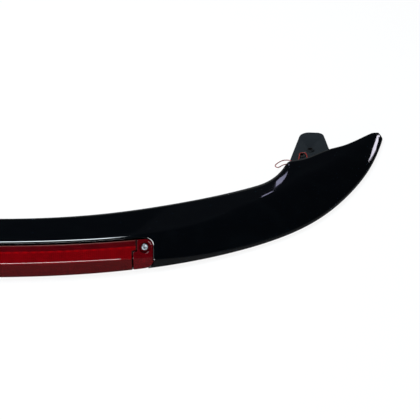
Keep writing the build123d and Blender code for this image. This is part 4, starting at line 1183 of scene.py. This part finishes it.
def stage_floor():
    """Pale floor that keeps a shadow; the polished black mirrors it grey, and dark ahead of the blade."""
    sheet = bmesh.new()
    bmesh.ops.create_grid(sheet, x_segments=1, y_segments=1, size=FLOOR_REACH)
    mesh = as_mesh(sheet, "floor")
    material, place = new_finish("floor")
    across = place.node("SeparateXYZ", {}, {"Vector": place}, "X").math("ABSOLUTE")
    forward = place.node("SeparateXYZ", {}, {"Vector": place}, "Y")
    ahead = (forward - DARK_SLANT * across).between(*DARK_EDGE) * (1 - across.between(*DARK_SIDES))
    near = forward.between(*NEAR_FADE).mixed((0.14, 0.14, 0.14), (0.10, 0.105, 0.11))
    mirror = place.node("Emission", {}, {"Color": ahead.mixed(near, (0.006, 0.007, 0.009))})
    pale = place.node("BsdfDiffuse", {}, {"Color": (0.9, 0.9, 0.9, 1)})
    faint = place.node("BsdfDiffuse", {}, {"Color": (0.05, 0.05, 0.05, 1)})
    glow = place.node("Emission", {}, {"Color": (0.9, 0.9, 0.9, 1)})
    seen = place.node("AddShader", {}, {0: faint, 1: glow})
    camera = place.node("LightPath", {}, {}, "Is Camera Ray")
    mirrored = place.node("LightPath", {}, {}, "Is Glossy Ray")
    shown = place.node("MixShader", {}, {0: camera, 1: pale, 2: seen})
    whole = place.node("MixShader", {}, {0: mirrored, 1: shown, 2: mirror})
    place.node("OutputMaterial", {}, {"Surface": whole})
    mesh.materials.append(material)
    floor = placed("floor", mesh)


def lit_card(name, corners, glow):
    """A small lit card out of the picture, which a polished face mirrors."""
    sheet = bmesh.new()
    sheet.faces.new([sheet.verts.new(corner) for corner in corners])
    mesh = as_mesh(sheet, name)
    material, place = new_finish(name)
    place.node("OutputMaterial", {}, {"Surface": place.node("Emission", {}, {"Color": (*glow, 1)})})
    mesh.materials.append(material)
    card = placed(name, mesh)
    card.visible_camera = False


def strip_corner(x, y, azimuth, elevation):
    """Corner of the strip's card, a set way off in a direction from a place near the right tip."""
    across, rise = math.radians(azimuth), math.tan(math.radians(elevation))
    away = STRIP_AWAY * Vector((math.sin(across), math.cos(across), rise))
    return Vector((x, y, TIP_HEIGHT)) + away


def panel(name, at, towards, width, height, power, colour=(1, 1, 1)):
    """A flat soft light."""
    light = bpy.data.lights.new(name, "AREA")
    light.shape = "RECTANGLE"
    light.size, light.size_y, light.energy, light.color = width, height, power, colour
    made = placed(name, light)
    made.location = at
    made.rotation_euler = (Vector(towards) - Vector(at)).to_track_quat("-Z", "Y").to_euler()


def surroundings():
    """White where the camera sees past the floor, and nearly black where the part mirrors it."""
    world = bpy.data.worlds.new("surroundings")
    world.use_nodes = True
    world.node_tree.nodes.clear()
    path = world.node_tree.nodes.new("ShaderNodeLightPath")
    seen = Socket(world.node_tree, path.outputs["Is Camera Ray"])
    colour = seen.mixed((0.012, 0.013, 0.016), (1, 1, 1))
    sky = seen.node("Background", {}, {"Color": colour, "Strength": 1.0})
    seen.node("OutputWorld", {}, {"Surface": sky})
    bpy.context.scene.world = world


stage_floor()
surroundings()
lit_card("wedge_card", [(x, WEDGE_BACK, z) for x, z in WEDGE], WEDGE_GLOW)
lit_card("strip_card", [strip_corner(*corner) for corner in STRIP], STRIP_GLOW)
panel(
    "overhead",
    at=(-0.2875, 0.2, 1.8),
    towards=(-0.2875, 0.2, 0),
    width=1.225,
    height=0.8,
    power=98,
    colour=(0.85, 0.95, 1),
)
panel("low_front", at=(-0.14, -2.6, 0.45), towards=(-0.14, 0, 0.45), width=2.06, height=0.6, power=134)
panel("low_left", at=(-1.73, -0.94, 0.64), towards=(0.234, -0.15, 0.035), width=1.3, height=0.9, power=8)
bpy.context.scene.view_settings.view_transform = "Standard"
view = bpy.data.cameras.new("camera")
view.lens = CAMERA_LENS
view.sensor_width = CAMERA_SENSOR
camera = placed("camera", view)
camera.location = CAMERA_PLACE
camera.rotation_euler = (math.radians(CAMERA_TILT), 0, 0)
bpy.context.scene.camera = camera
